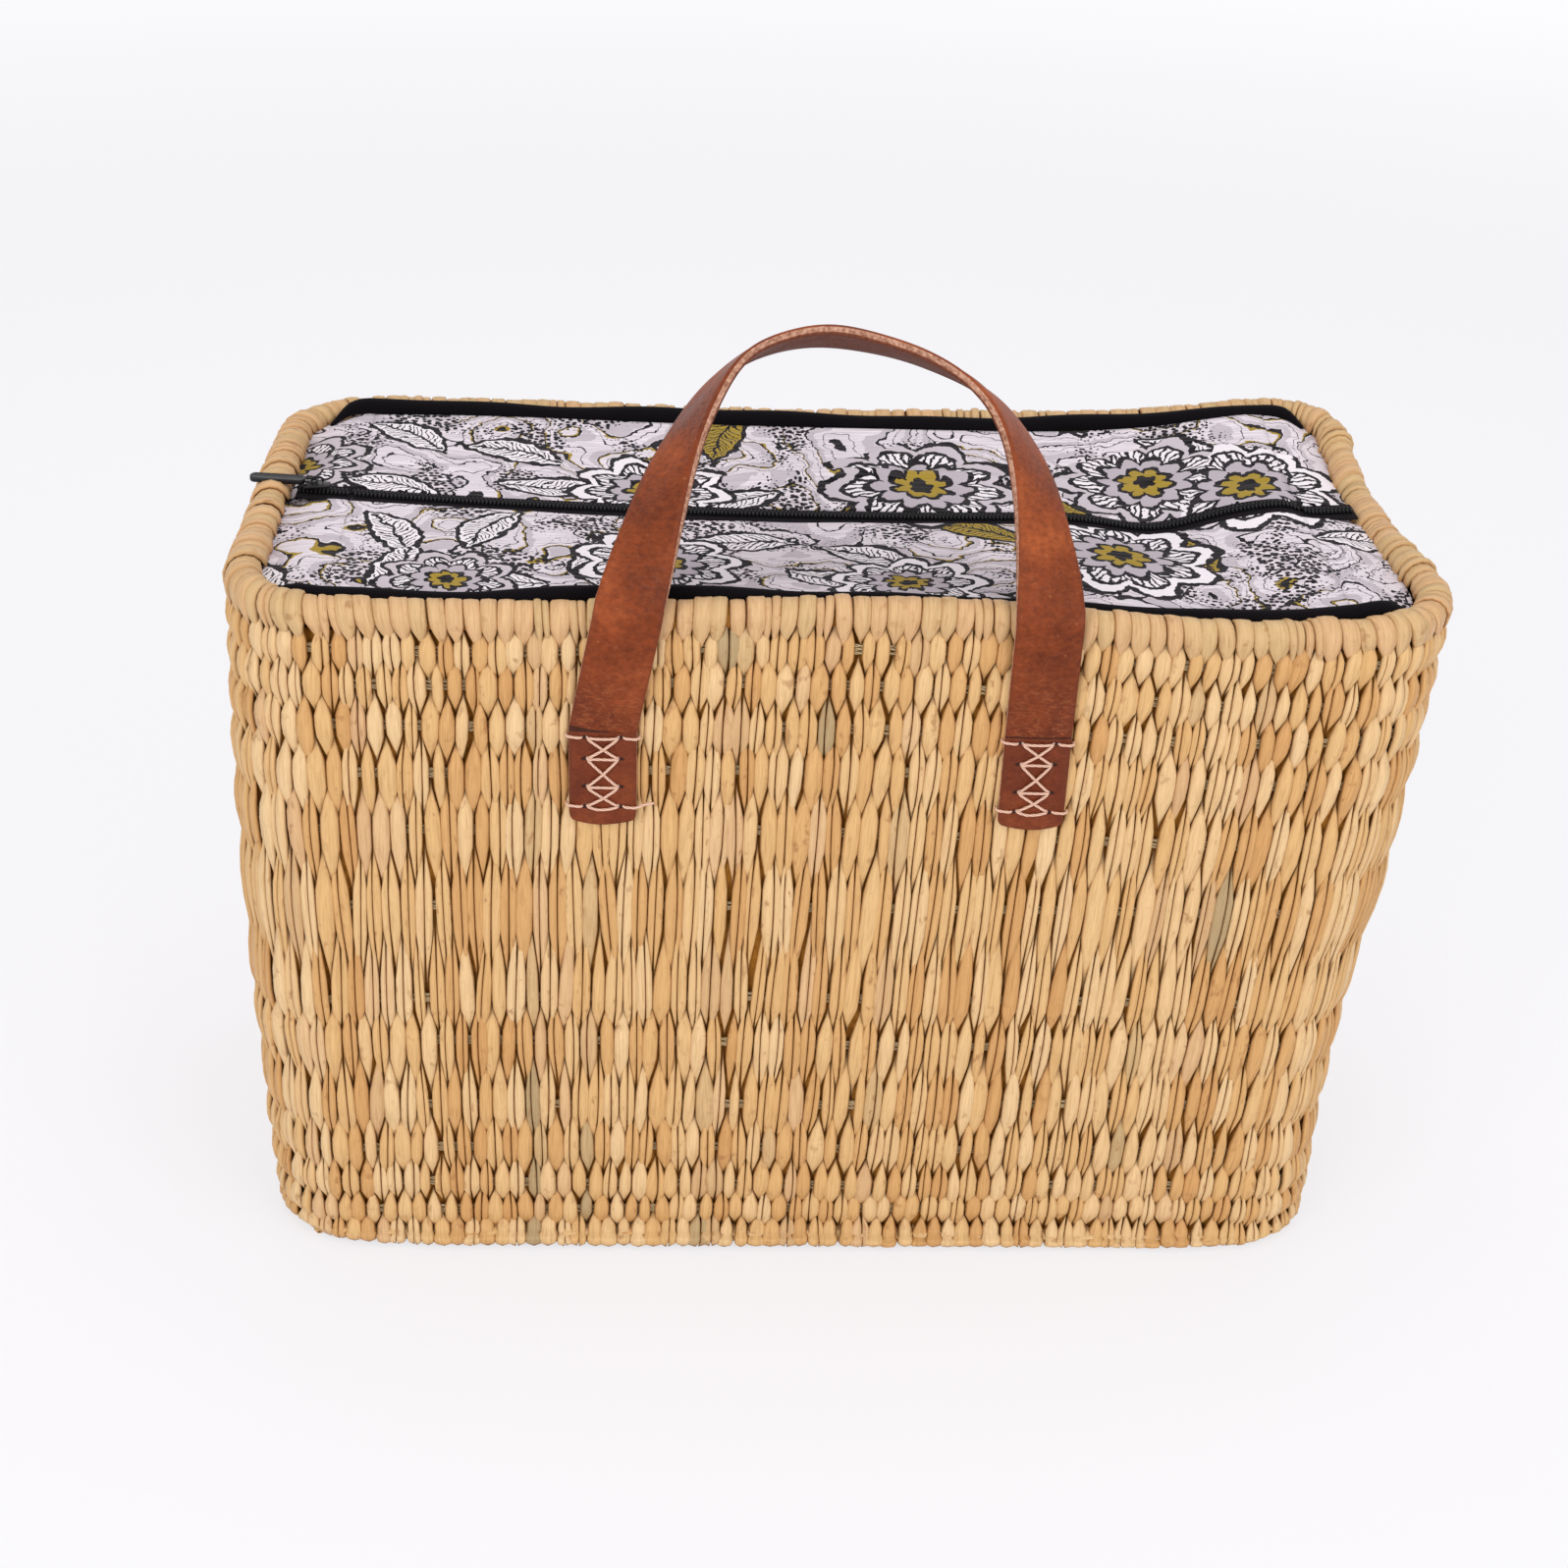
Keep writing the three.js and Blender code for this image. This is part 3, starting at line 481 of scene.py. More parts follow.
floats = []
for row, height in enumerate(row_heights):
    lowest = row == len(row_heights) - 1
    for reed in range(0 if lowest else row % 2, reed_count, 1 if lowest else 2):
        between = lowest and reed % 2 != row % 2
        wide = room_for(reed)
        wide *= random.choice([1.26, 1.18, 1.08, 0.92], p=[0.36, 0.36, 0.22, 0.06]) * reed_plump[reed]
        turn = reed_turns[reed] + random.normal(0, 0.00022)
        wave = 0.9 * sin(2 * pi * (2 * turn + 0.37 * row)) + random.normal(0, 0.55)
        up = 2.5 if between else (row_above[row] - height) * random.uniform(0.94, 1.1)
        down = (height - row_below[row]) * random.uniform(0.94, 1.1)
        lean = random.normal(0.015 * sin(2 * pi * turn), 0.022)
        tint = float(np.clip(reed_tints[reed] + random.normal(0, 0.035), 0, 1))
        crease = random.uniform(0.25, 0.6) if random.random() < 0.24 else 0.0
        under = float(lowest) * (0.6 if between else 1.0)
        strands = [(0.0, 1.0, 1.0)]
        if random.random() < 0.13 + 0.0078 * (up + down):
            part = random.uniform(0.34, 0.66)
            strands = [(-0.5 + part / 2, part * 1.04, 0.85), (part / 2, (1 - part) * 1.04, 0.85)]
        for offset, share, plump in strands:
            floats.append((
                turn, offset * wide, height + wave, up * random.uniform(0.86, 1.0),
                down * random.uniform(0.86, 1.0), wide * share / 2, lean,
                random.normal(0, 0.2) - 1.0 * between, crease * (share == 1.0), plump, under, tint,
                random.random()))
floats = np.array(floats)
float_inset, float_swing, float_thick, float_back = 3.45, 1.3, 1.55, 0.9
foot_level, lowest_level = 0.6, 0.4


def float_places(chosen):
    turn, offset, height, up, down, half, lean, stand, crease, plump, under = (
        column[:, None] for column in chosen[:, :11].T)

    def place(across, along, through):
        far = np.abs(along)
        reach = np.where(along > 0, up, down)
        tucked = under * (along < 0)
        waist = (0.5 + 0.5 * cos(pi * far)) * (1.0 - 0.15 * bell(far, 0.0, 0.2))
        waist = np.where(tucked > 0, sqrt(1.0 - far ** 8), waist)
        at_turn = turn + offset * (0.25 + 0.75 * waist) + across * half * waist + lean * along * reach / girth
        z = height + along * reach
        short = 1.0 - smooth(up + down, 34.0, 66.0)
        out = -float_inset + (float_swing + 0.25 * short) * cos(pi * far) + stand
        thick = np.where(through < 0, float_back, (float_thick + 0.3 * short) * plump)
        out = out + thick * through * sqrt(waist)
        out = out - crease * (through > 0.9) * waist * 1.2
        z = np.where(tucked > 0, foot_level + (height - foot_level) * cos(far * pi / 2), z)
        ahead = 1.4 * smooth(np.abs(cos(2 * pi * turn)), 0.35, 0.75) - 0.4
        out = out + under * ahead * 3.0 * smooth(-along, -0.15, 0.45)
        out = out + tucked * ahead * 3.2 * sin(far * pi / 2)
        return on_wall(at_turn, np.maximum(z, lowest_level), out)
    return place


corner_middle = (front_half + corner_run / 2) / girth
side_bounds = {
    "front": (-corner_middle, corner_middle), "right": (corner_middle, 0.5 - corner_middle),
    "back": (0.5 - corner_middle, 0.5 + corner_middle), "left": (0.5 + corner_middle, 1 - corner_middle)}
for side, (start, end) in side_bounds.items():
    chosen = floats[((floats[:, 0] - start) % 1.0) < (end - start)]
    length = (chosen[:, 3] + chosen[:, 4]) / 2
    lay_reeds(side + "_reeds", 8, float_places(chosen), chosen[:, 11:13], length, ("reed_wall",))

wall_middle, wall_half, wall_inset, wall_thick = 148.5, 143.5, 5.6, 2.6
bm = bmesh.new()
bmesh.ops.create_grid(bm, x_segments=reed_count, y_segments=12, size=1.0)
for vert in bm.verts:
    turn = (vert.co.x + 1) / 2
    rib = 0.6 * cos(pi * reed_count * turn)
    height = np.array(wall_middle + wall_half * vert.co.y)
    vert.co = Vector(on_wall(np.array(turn), height, rib - wall_inset)) * mm
bmesh.ops.remove_doubles(bm, verts=bm.verts[:], dist=1e-5)
bmesh.ops.recalc_face_normals(bm, faces=bm.faces[:])
bmesh.ops.solidify(bm, geom=bm.faces[:], thickness=wall_thick * mm)
new_piece("wall_core", bm, core_finish, stands_for=("reed_wall",))

# The weft: each row is a flat bundle of pale twines laid one above another between the
# crossing reeds. It shows only where the reeds part, with a dark crevice behind it.
def unit(rows):
    return rows / np.linalg.norm(rows, axis=1)[:, None]


def lengths_along(line):
    return np.concatenate(([0.0], np.cumsum(np.linalg.norm(np.diff(line, axis=0), axis=1))))


def add_tube(bm, line, radius, sides, closed=False):
    """A round strand along a line of points in mm. Its ends close to a point."""
    line = np.asarray(line, float)
    count = len(line)
    ahead = unit(np.roll(line, -1, 0) - np.roll(line, 1, 0) if closed else np.gradient(line, axis=0))
    normal = np.array([0.0, 0.0, 1.0]) if abs(ahead[0][2]) < 0.9 else np.array([1.0, 0.0, 0.0])
    normals = []
    for direction in ahead:
        normal = normal - direction * normal.dot(direction)
        normal = normal / np.linalg.norm(normal)
        normals.append(normal)
    normals = np.array(normals)
    sideways = np.cross(ahead, normals)
    gone = lengths_along(line)
    radii = np.broadcast_to(radius, count).astype(float).copy()
    if not closed:
        radii[0] = radii[-1] = 0.0
    ring = bm.verts.layers.float_vector.get("strand") or bm.verts.layers.float_vector.new("strand")
    spans = count if closed else count - 1
    verts = bmesh.ops.create_grid(bm, x_segments=spans, y_segments=sides, size=1.0)["verts"]
    for vert in verts:
        step = int(round((vert.co.x + 1) / 2 * spans)) % count
        angle = (vert.co.y + 1) * pi
        spoke = normals[step] * cos(angle) - sideways[step] * sin(angle)
        vert[ring] = (cos(angle), sin(angle), gone[step])
        vert.co = (line[step] + radii[step] * spoke) * mm
    bmesh.ops.remove_doubles(bm, verts=verts, dist=2e-6)


def twisted(finish, pitch, plies):
    """Height of a wound strand, whose plies follow each other by a pitch, given in mm."""
    one, other, gone = split(own_attribute(finish, "strand"))
    wound = gone * (2 * pi / pitch) + maths("ARCTAN2", other, one) * plies
    return maths("SINE", wound) * 0.5 + 0.5


twine_finish = new_finish("weft_twine")
twine_plies = twisted(twine_finish, 3.0, 3.0)
twine_colour = colour_steps(twine_plies, (0.1, 176, 142, 92), (0.8, 244, 224, 180))
dress(twine_finish, twine_colour, 0.85, 0.15, bump(twine_plies, 0.6, 0.5))
twine_pitch, twine_radius, twine_inset = 1.4, 0.66, 3.9
row_turns = np.arange(300) / 300.0
bm = bmesh.new()
for row, height in enumerate(row_heights[:12]):
    row_wave = 0.9 * sin(2 * pi * (2 * row_turns + 0.37 * row))
    for strand in (-twine_pitch, 0.0, twine_pitch):
        drift = 0.25 * sin(2 * pi * (9 * row_turns + strand))
        line = on_wall(row_turns, height + row_wave + strand + drift, -twine_inset)
        add_tube(bm, line, twine_radius, 5, closed=True)
cord_nodes = ["weft_cord_%02d" % row for row in range(1, 13)]
new_piece("weft_cords", bm, twine_finish, stands_for=cord_nodes)

# The rim: the ends of the reeds are folded over a roll of reeds and bound down, broad and
# upright along the front and back, finer and aslant along the ends and round the corners.
rim_centre, roll_radius, core_radius, rim_inset = 298.0, 6.0, 5.0, 7.5
wrap_angle = 205.0
wrap_arc = roll_radius * math.radians(wrap_angle)
wraps = []
for reed in range(1, reed_count, 2):
    sideness = float(hump(reed_turns[reed], 0.25, 0.12) + hump(reed_turns[reed], 0.75, 0.12))
    wide = room_for(reed)
    strands = 2 if random.random() < 0.12 + 0.2 * sideness else 1
    for strand in range(strands):
        offset = (strand + 0.5) / strands - 0.5
        half = 0.5 * wide / strands * random.uniform(0.99, 1.16) * (1.0 + 0.14 * sideness)
        wraps.append((
            reed_turns[reed] + offset * wide, half, sideness, random.normal(0, 1.6),
            random.normal(0.1 * sideness, 0.34 + 0.16 * sideness), random.uniform(0.9, 1.12),
            random.uniform(0.3, 0.6) * (random.random() < 0.35), reed_tints[reed]))
(wrap_turn, wrap_half, wrap_side, wrap_sway, wrap_stand, wrap_tip, wrap_crease,
 wrap_tint) = np.array(wraps).T[:, :, None]
wrap_slant = wrap_sway - 12.0 * wrap_side
wrap_tip = wrap_tip * (299.0 - row_heights[0])


def rim_sway(turn):
    return 0.8 * sin(2 * pi * 3 * turn) + 0.5 * sin(2 * pi * 7 * turn + 1.0)


def over_rim(across, along, through):
    gone = (1.0 - along) / 2 * (wrap_arc + wrap_tip)
    angle = np.radians(wrap_angle) - np.minimum(gone, wrap_arc) / roll_radius
    past = np.maximum(gone - wrap_arc, 0.0)
    tip_share = past / wrap_tip
    waist = (0.5 + 0.5 * cos(pi * tip_share)) * sqrt(np.clip(gone / 6.0, 0.0, 1.0))
    thick = np.where(through < 0, 0.5, 1.3) * through * sqrt(waist)
    thick = thick - wrap_crease * (through > 0.9) * waist * 0.8
    radius = roll_radius + wrap_stand + thick
    out = radius * cos(angle) - rim_inset - 2.4 * tip_share ** 1.3
    z = rim_centre + radius * sin(angle) - past
    turn = wrap_turn + across * wrap_half * waist
    turn = turn + wrap_slant * (0.45 - gone / (wrap_arc + wrap_tip)) / girth
    return on_wall(turn, z + rim_sway(turn), out)


# Painted shade: the wraps take their tints from a narrow, darker part of the reeds' range, so the rim reads
# less brightly lit
wrap_shaded_tints = np.concatenate((0.93 + 0.05 * wrap_tint, random.random((len(wraps), 1))), 1)
lay_reeds("rim_wraps", 12, over_rim, wrap_shaded_tints, np.full(len(wraps), 20.0), ("rim_roll",))
bm = bmesh.new()
add_tube(bm, on_wall(row_turns, rim_centre + rim_sway(row_turns), -rim_inset), core_radius, 10, closed=True)
new_piece("rim_core", bm, core_finish, stands_for=("rim_roll",))

# The lining: plain grey cotton cut as a base and four walls, sewn at the corners and under
# the rim, hanging just inside the reeds.
def weave_height(place, threads):
    """Height of a plain weave with that many threads to the mm."""
    x, y, _ = split(place)
    wave_x, wave_y = (maths("SINE", value * (pi * threads)) for value in (x, y))
    return wave_x * wave_y * 0.5 + 0.5


def add_sheet(name, columns, rows, place, finish, body, stands_for, thick):
    """A cloth sheet: place turns shares across and along into mm, and gives the flat place too."""
    bm = bmesh.new()
    bmesh.ops.create_grid(bm, x_segments=columns, y_segments=rows, size=1.0)
    shares = np.array([vert.co for vert in bm.verts])
    laid, flat = place((shares[:, 0] + 1) / 2, (shares[:, 1] + 1) / 2)
    flat_layer = bm.verts.layers.float_vector.new("flat_cloth")
    for vert, at, on_cloth in zip(bm.verts, laid, flat):
        vert.co = at * mm
        vert[flat_layer] = on_cloth
    piece = new_piece(name, bm, finish, body, stands_for)
    wall = piece.modifiers.new("cloth", "SOLIDIFY")
    wall.thickness = thick * mm
    wall.offset = 0.0
    return piece


lining_finish = new_finish("lining_cotton")
lining_place = own_attribute(lining_finish, "flat_cloth")
lining_weave = weave_height(lining_place, 1.6)
lining_slub = noise(lining_place, 0.05, 4.0)
lining_colour = colour_steps(lining_slub, (0.3, 196, 192, 190), (0.7, 224, 221, 218))
lining_thread = light_steps(lining_weave, (0.0, 0.8, 0.8, 0.8), (1.0, 1.05, 1.05, 1.05))
lining_colour = mixed(1.0, lining_colour, lining_thread, "MULTIPLY")
dress(lining_finish, lining_colour, 0.92, 0.1, bump(lining_weave, 0.3, 0.3))
lining_foot, lining_height, lining_inset, lining_thick = 9.2, 281.0, 11.0, 0.6
for side, (start, end) in side_bounds.items():
    run = (end - start) * girth

    def hung(across, along, start=start, end=end, run=run):
        turn = start + across * (end - start)
        height = lining_foot + along * lining_height
        crumple = 0.5 * sin(across * run / 17.0 + 2.0 * sin(along * 5.0)) * sin(pi * along)
        laid = on_wall(turn, height, crumple - lining_inset - handmade(turn, height))
        return laid, points(across * run, along * lining_height, 0.0)

    sheet = add_sheet("lining_%s_cloth" % side, 40, 24, hung, lining_finish, "basket",
                      ("lining_" + side,), lining_thick)
    run * mm

floor_wide, floor_deep, floor_level = 432.0, 186.0, 8.0


def floor_cloth(across, along):
    x = floor_wide * (across - 0.5)
    y = floor_deep * (along - 0.5)
    squeeze = sqrt(np.maximum(1.0 - np.clip((np.abs(x) - 190.0) / 42.0, 0, 1) ** 2 * 0.55, 0.0))
    laid = points(x, y * squeeze, floor_level + 0.25 * sin(x / 21.0) * sin(y / 17.0))
    return laid, points(x, y, 0.0)


sheet = add_sheet("lining_floor_cloth", 48, 24, floor_cloth, lining_finish, "basket",
                  ("lining_base",), lining_thick)

# The piping: a thick cord covered in black cotton twill, sewn along the front and back edges
# of the lid and pressed against the rim roll. Its ends tuck down at the corners.
cotton_sheen = {"Sheen Weight": 0.03, "Sheen Roughness": 0.5}
piping_finish = new_finish("piping_twill")
twill = twisted(piping_finish, 1.1, 9.0)
piping_colour = colour_steps(twill, (0.0, 5, 4, 6), (1.0, 22, 18, 22))
dress(piping_finish, piping_colour, 0.9, 0.05, bump(twill, 0.4, 0.4), cotton_sheen)
piping_level, piping_inset, piping_radius = 303.0, 16.6, 3.5
piping_reach = corner_middle + 0.12 * corner_run / girth
for name, middle in (("front", 0.0), ("back", 0.5)):
    share = np.linspace(-1.0, 1.0, 160)
    tuck = 4.0 * smooth(np.abs(share), 0.9, 1.0)
    if name == "front":
        tuck = tuck + 2.8 * bell(share, -0.64, 0.2) + 4.2 * bell(share, 0.17, 0.3)
    rise = piping_level - tuck + 0.7 * sin(share * 9.0) + 0.4 * sin(share * 23.0)
    line = on_wall(middle + share * piping_reach, rise, -piping_inset - 0.4 * sin(share * 15.0))
    bm = bmesh.new()
    add_tube(bm, line, piping_radius - 2.7 * smooth(np.abs(share), 0.87, 1.0), 12)
    new_piece(name + "_piping_cord", bm, piping_finish, stands_for=(name + "_piping",))

# The lid cloth: printed slub cotton in lilac grey with black line work, grey washes and olive.
# Two flaps meet at the zip and two fixed ends dip inside the rim. It is slack, so it sags to
# the zip and creases behind it. The print is a made-up one of scalloped blossoms and leaves.
lid_level, lid_middle, flap_half, zip_line = 300.5, 7.882, 195.0, 4.0
lid_reach, front_reach, back_reach = 217.0, 93.5, 85.5


def lid_height(x, y):
    """How far the slack cloth lies above its level, in mm."""
    end_share = np.clip((x - lid_middle) / lid_reach, -1.0, 1.0)
    slack = 1.0 - end_share ** 2
    from_zip = np.where(y < zip_line, (zip_line - y) / front_reach, (y - zip_line) / back_reach)
    hinge_share = np.clip(from_zip, 0.0, 1.0)
    sag = -7.0 * slack * cos(hinge_share * pi / 2) ** 0.8
    crease = 3.6 * bell(y, 40.0 + 5.0 * sin(x / 55.0), 3.4) * bell(x, 20.0, 85.0)
    lifted = 4.0 * smooth(x, 150.0, 194.0) * (1.0 - smooth(x, 194.0, 208.0)) * (1.0 - 0.7 * hinge_share)
    lifted = lifted - 5.0 * bell(x, 140.0, 22.0) * (1.0 - hinge_share) ** 1.5
    edge_turn = np.where(y < zip_line, (x - lid_middle) / girth, 0.5 - (x - lid_middle) / girth)
    follow = settled(edge_turn) * hinge_share ** 2
    billow = 1.6 * sin(x / 31.0 + 1.2 * sin(y / 26.0)) * sin(pi * hinge_share)
    pucker = 0.5 * sin(x / 7.0 + y / 9.0) * sin(pi * hinge_share) * slack
    return sag + crease + lifted + follow + (billow + pucker) * sqrt(np.clip(slack, 0.0, 1.0))


petal_ring = bpy.data.node_groups.new("petal_ring", "ShaderNodeTree")
petal_inputs = ("Distance", "Angle", "Petals", "Radius", "Bulge", "Turn", "Line")
for title in petal_inputs:
    petal_ring.interface.new_socket(title, in_out="INPUT", socket_type="NodeSocketFloat")
for title in ("Inside", "Outline"):
    petal_ring.interface.new_socket(title, in_out="OUTPUT", socket_type="NodeSocketFloat")
given = petal_ring.nodes.new("NodeGroupInput").outputs
far, angle, petals, radius, bulge, turn, line = (Value(petal_ring, given[title]) for title in petal_inputs)
petal_wave = abs(maths("SINE", angle * (petals * 0.5) + turn))
petal_gap = far - (petal_wave * bulge + radius)
wanted = petal_ring.nodes.new("NodeGroupOutput")
plug(wanted, {"Inside": petal_gap < 0.0, "Outline": abs(petal_gap) < line})


def ring_of_petals(far, angle, *shape):
    """Masks for the inside and the outline of a ring of petals."""
    inputs = dict(zip(petal_inputs, (far, angle) + shape))
    return wire(far.tree, "Group", inputs, ("Inside", "Outline"), node_tree=petal_ring)


def scattered(place, scale, spread):
    """Motifs strewn over the cloth: the place within each one, and three chances of its own."""
    inputs = {"Vector": place, "Scale": scale, "Randomness": spread}
    colour, middle = wire(place.tree, "TexVoronoi", inputs, ("Color", "Position"), voronoi_dimensions="2D")
    chances = wire(place.tree, "SeparateColor", {0: colour}, (0, 1, 2))
    return vectors("SUBTRACT", place, middle), chances


print_finish = new_finish("printed_cotton")
ink, olive, wash = tone(14, 10, 14), tone(160, 133, 44), tone(182, 171, 178)
ground, pale = (238, 229, 234), tone(237, 229, 233)
cloth_place = own_attribute(print_finish, "flat_cloth")
wobble = vectors("SUBTRACT", noise(cloth_place, 0.16, 3.0, output="Color"), (0.5, 0.5, 0.5))
wobble = vectors("MULTIPLY", wobble, (7.0, 7.0, 0.0))
drawn = vectors("MULTIPLY_ADD", cloth_place, (1.0, 1.0, 0.0), wobble)
cloth_x, cloth_y, _ = split(cloth_place)
slub = noise(joined(cloth_x * 0.05, cloth_y * 1.1, 0.0), 1.0, 3.0)
print_colour = colour_steps(slub, (0.3, 198, 187, 193), (0.5, 219, 208, 214), (0.7, *ground))
bands = maths("FRACT", noise(drawn, 0.021, 1.5, noise_dimensions="2D") * 7.0)
olive_zone = noise(drawn, 0.013, 0.0, noise_dimensions="2D") > 0.53
band_lines = maths("MAXIMUM", abs(bands - 0.5) < 0.042, abs(bands - 0.84) < 0.018)
stipple_inputs = {"Vector": cloth_place, "Scale": 0.42}
stipple = wire(cloth_place.tree, "TexVoronoi", stipple_inputs, "Distance", voronoi_dimensions="2D")
stipple_size = ranged(noise(drawn, 0.03, noise_dimensions="2D"), 0.46, 0.62, 0.0, 0.42)
print_colour = layered(
    print_colour, ((abs(bands - 0.3) < 0.13) * 0.75, wash), ((abs(bands - 0.53) < 0.07) * olive_zone, olive),
    (band_lines, ink), (stipple < stipple_size, ink))

leaf_off, (leaf_red, leaf_green, leaf_blue) = scattered(drawn, 0.021, 0.75)
leaf_inputs = {"Vector": leaf_off, "Angle": leaf_red * 6.283}
leaf_u, leaf_v, _ = split(wire(cloth_place.tree, "VectorRotate", leaf_inputs, rotation_type="Z_AXIS"))
leaf_v = abs(leaf_u * leaf_u * -0.008 + leaf_v)
leaf_long = leaf_u * (1.0 / 23.0)
leaf_gap = leaf_v - (leaf_long * leaf_long * -9.5 + 9.5)
leaf_shown = leaf_green > 0.2
leaf_fill = mixed(leaf_blue > 0.72, pale, olive)
leaf_vein = maths("FRACT", (leaf_v * -0.9 + leaf_u) * 0.36) < 0.3
leaf_core = (leaf_gap < -2.4) * maths("MAXIMUM", leaf_vein, leaf_v < 0.7)
leaf_rim = abs(leaf_gap + 0.2) < 1.25
leaf_lines = maths("MAXIMUM", leaf_core, leaf_rim)
print_colour = layered(
    print_colour, ((leaf_gap < 0.0) * leaf_shown, leaf_fill), (leaf_lines * leaf_shown, ink))

bloom_off, (bloom_red, bloom_green, bloom_blue) = scattered(drawn, 0.0112, 0.62)
bloom_x, bloom_y, _ = split(bloom_off)
bloom_far = maths("DIVIDE", vectors("LENGTH", bloom_off, output="Value"), bloom_blue * 0.5 + 0.72)
bloom_angle = maths("ARCTAN2", bloom_y, bloom_x) + bloom_red * 6.283
bloom_shown = bloom_green > 0.22
hatching = maths("SINE", bloom_angle * 54.0) < -0.35
bloom_pale = mixed(bloom_red > 0.6, pale, tone(197, 186, 192))
rings = (
    (9.0, 27.0, 9.0, 0.0, 1.6, bloom_pale, False),
    (9.0, 20.5, 7.5, 0.0, 1.2, pale, True),
    (11.0, 14.5, 5.0, 0.9, 1.4, wash, False),
    (8.0, 7.5, 3.4, 0.3, 1.3, olive, False),
    (5.0, 2.6, 1.4, 0.0, 0.7, ink, False),
)
for petals, radius, bulge, turn, line, fill, hatched in rings:
    inside, outline = ring_of_petals(bloom_far, bloom_angle, petals, radius, bulge, turn, line)
    hatches = [(inside * hatching * bloom_shown, ink)] if hatched else []
    print_colour = layered(print_colour, (inside * bloom_shown, fill), *hatches, (outline * bloom_shown, ink))
print_colour = mixed(ranged(slub, 0.35, 0.7, 0.0, 0.06), print_colour, tone(*ground))
print_weave = weave_height(cloth_place, 1.5) + slub * 1.2
dress(print_finish, print_colour, 0.92, 0.05, bump(print_weave, 0.35, 0.4), cotton_sheen)

cloth_rise, cloth_thick, zip_half = 0.7, 0.7, 6.3
for name, hinge_y, bent_y, edge_y in (
    ("front", -89.4, -66.0, zip_line - zip_half),
    ("back", 89.4, 61.0, zip_line + zip_half),
):
    def flap_cloth(across, along, hinge_y=hinge_y, edge_y=edge_y):
        x = lid_middle + (2 * across - 1) * (flap_half - 0.1)
        y = hinge_y + along * (edge_y - hinge_y)
        folded = -0.9 * smooth(along, 0.985, 1.0)
        return points(x, y, lid_level + cloth_rise + lid_height(x, y) + folded), points(x, y, 0.0)

    sheet = add_sheet(name + "_lid_cloth", 150, 60, flap_cloth, print_finish, None,
                      (name + "_lid_panel",), cloth_thick)
    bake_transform(sheet)

end_depth, end_round, end_straight = 186.0, 27.5, 70.0
for name, hand in (("left", -1.0), ("right", 1.0)):
    def end_cloth(across, along, hand=hand):
        y = end_depth * (along - 0.5) * hand
        bulge = np.maximum(end_round ** 2 - np.maximum(np.abs(y) - end_straight, 0.0) ** 2, 0.0) ** 0.5
        reach = flap_half - 3.0 + across * (bulge + 3.0)
        x = lid_middle + hand * reach
        dip = 4.0 * smooth(across, 0.3, 1.0) + 0.75 * smooth(-reach, -flap_half - 1.5, -flap_half + 0.5)
        opened = 1.9 * smooth(-np.abs(y - zip_line), -7.2, -5.8)
        return points(x, y, lid_level + cloth_rise + lid_height(x, y) - dip - opened), points(x, y, 0.0)

    sheet = add_sheet(name + "_end_cloth", 16, 60, end_cloth, print_finish, "basket",
                      (name + "_end_panel",), cloth_thick)

# The zip: black woven tape down both edges of the opening, a nylon coil sewn along each,
# and short tails that carry both past the flaps to the stops at the ends.
tape_finish = new_finish("zip_tape")
tape_weave = weave_height(own_attribute(tape_finish, "flat_cloth"), 1.3)
tape_colour = colour_steps(tape_weave, (0.0, 12, 9, 12), (1.0, 29, 25, 29))
dress(tape_finish, tape_colour, 0.88, 0.08, bump(tape_weave, 0.5, 0.4))
coil_finish = new_finish("zip_nylon")
coil_noise = noise(object_place(coil_finish), 900.0)
coil_colour = colour_steps(coil_noise, (0.3, 12, 11, 13), (0.7, 26, 24, 27))
dress(coil_finish, coil_colour, ranged(coil_noise, 0.0, 1.0, 0.42, 0.6), 0.14)
tape_inner, tape_outer, tape_rise, tape_thick = 0.5, 7.4, 0.35, 0.6
coil_pitch, coil_off, coil_rise, coil_half = 1.6, 1.35, 1.35, np.array([0.72, 1.75, 0.95])


def zip_height(x):
    return lid_level + lid_height(x, np.full_like(x, zip_line))


def zip_tape(name, start, end, side, body, stands_for):
    def woven(across, along):
        x = start + across * (end - start)
        wide = tape_outer - tape_inner
        off = tape_outer - wide * along if side < 0 else tape_inner + wide * along
        y = zip_line + side * off
        return points(x, y, zip_height(x) + tape_rise), points(x, y, 0.0)

    columns = max(int((end - start) / 3.0), 6)
    return add_sheet(name, columns, 6, woven, tape_finish, body, stands_for, tape_thick)


def zip_coil(name, start, end, side, body, stands_for):
    """Loops of the nylon coil, each a small plump bar across the edge of the tape."""
    count = int((end - start) / coil_pitch)
    bm, one = many_balls(6, 5, count)
    x = start + coil_pitch * (np.arange(count) + (0.25 if side > 0 else 0.75))
    middle = points(x, zip_line + side * coil_off, zip_height(x) + coil_rise)
    laid = middle[:, None, :] + one[None] * coil_half
    for vert, at in zip(bm.verts, laid.reshape(-1, 3)):
        vert.co = at * mm
    return new_piece(name, bm, coil_finish, body, stands_for)


flap_left, flap_right = lid_middle - flap_half, lid_middle + flap_half
tail_left, tail_right, tail_gap = lid_middle - 217.4, lid_middle + 217.4, 0.3
for name, side in (("front", -1.0), ("back", 1.0)):
    for title, start, end, body, node in (
        (name + "_{}", flap_left, flap_right, name + "_flap", name + "_zip_{}"),
        ("left_tail_{}_" + name, tail_left, flap_left - tail_gap, "basket", "zip_tail_left"),
        ("right_tail_{}_" + name, flap_right + tail_gap, tail_right, "basket", "zip_tail_right"),
    ):
        zip_tape(title.format("tape"), start, end, side, body, (node.format("tape"),))
        zip_coil(title.format("coil"), start, end, side, body, (node.format("coil"),))

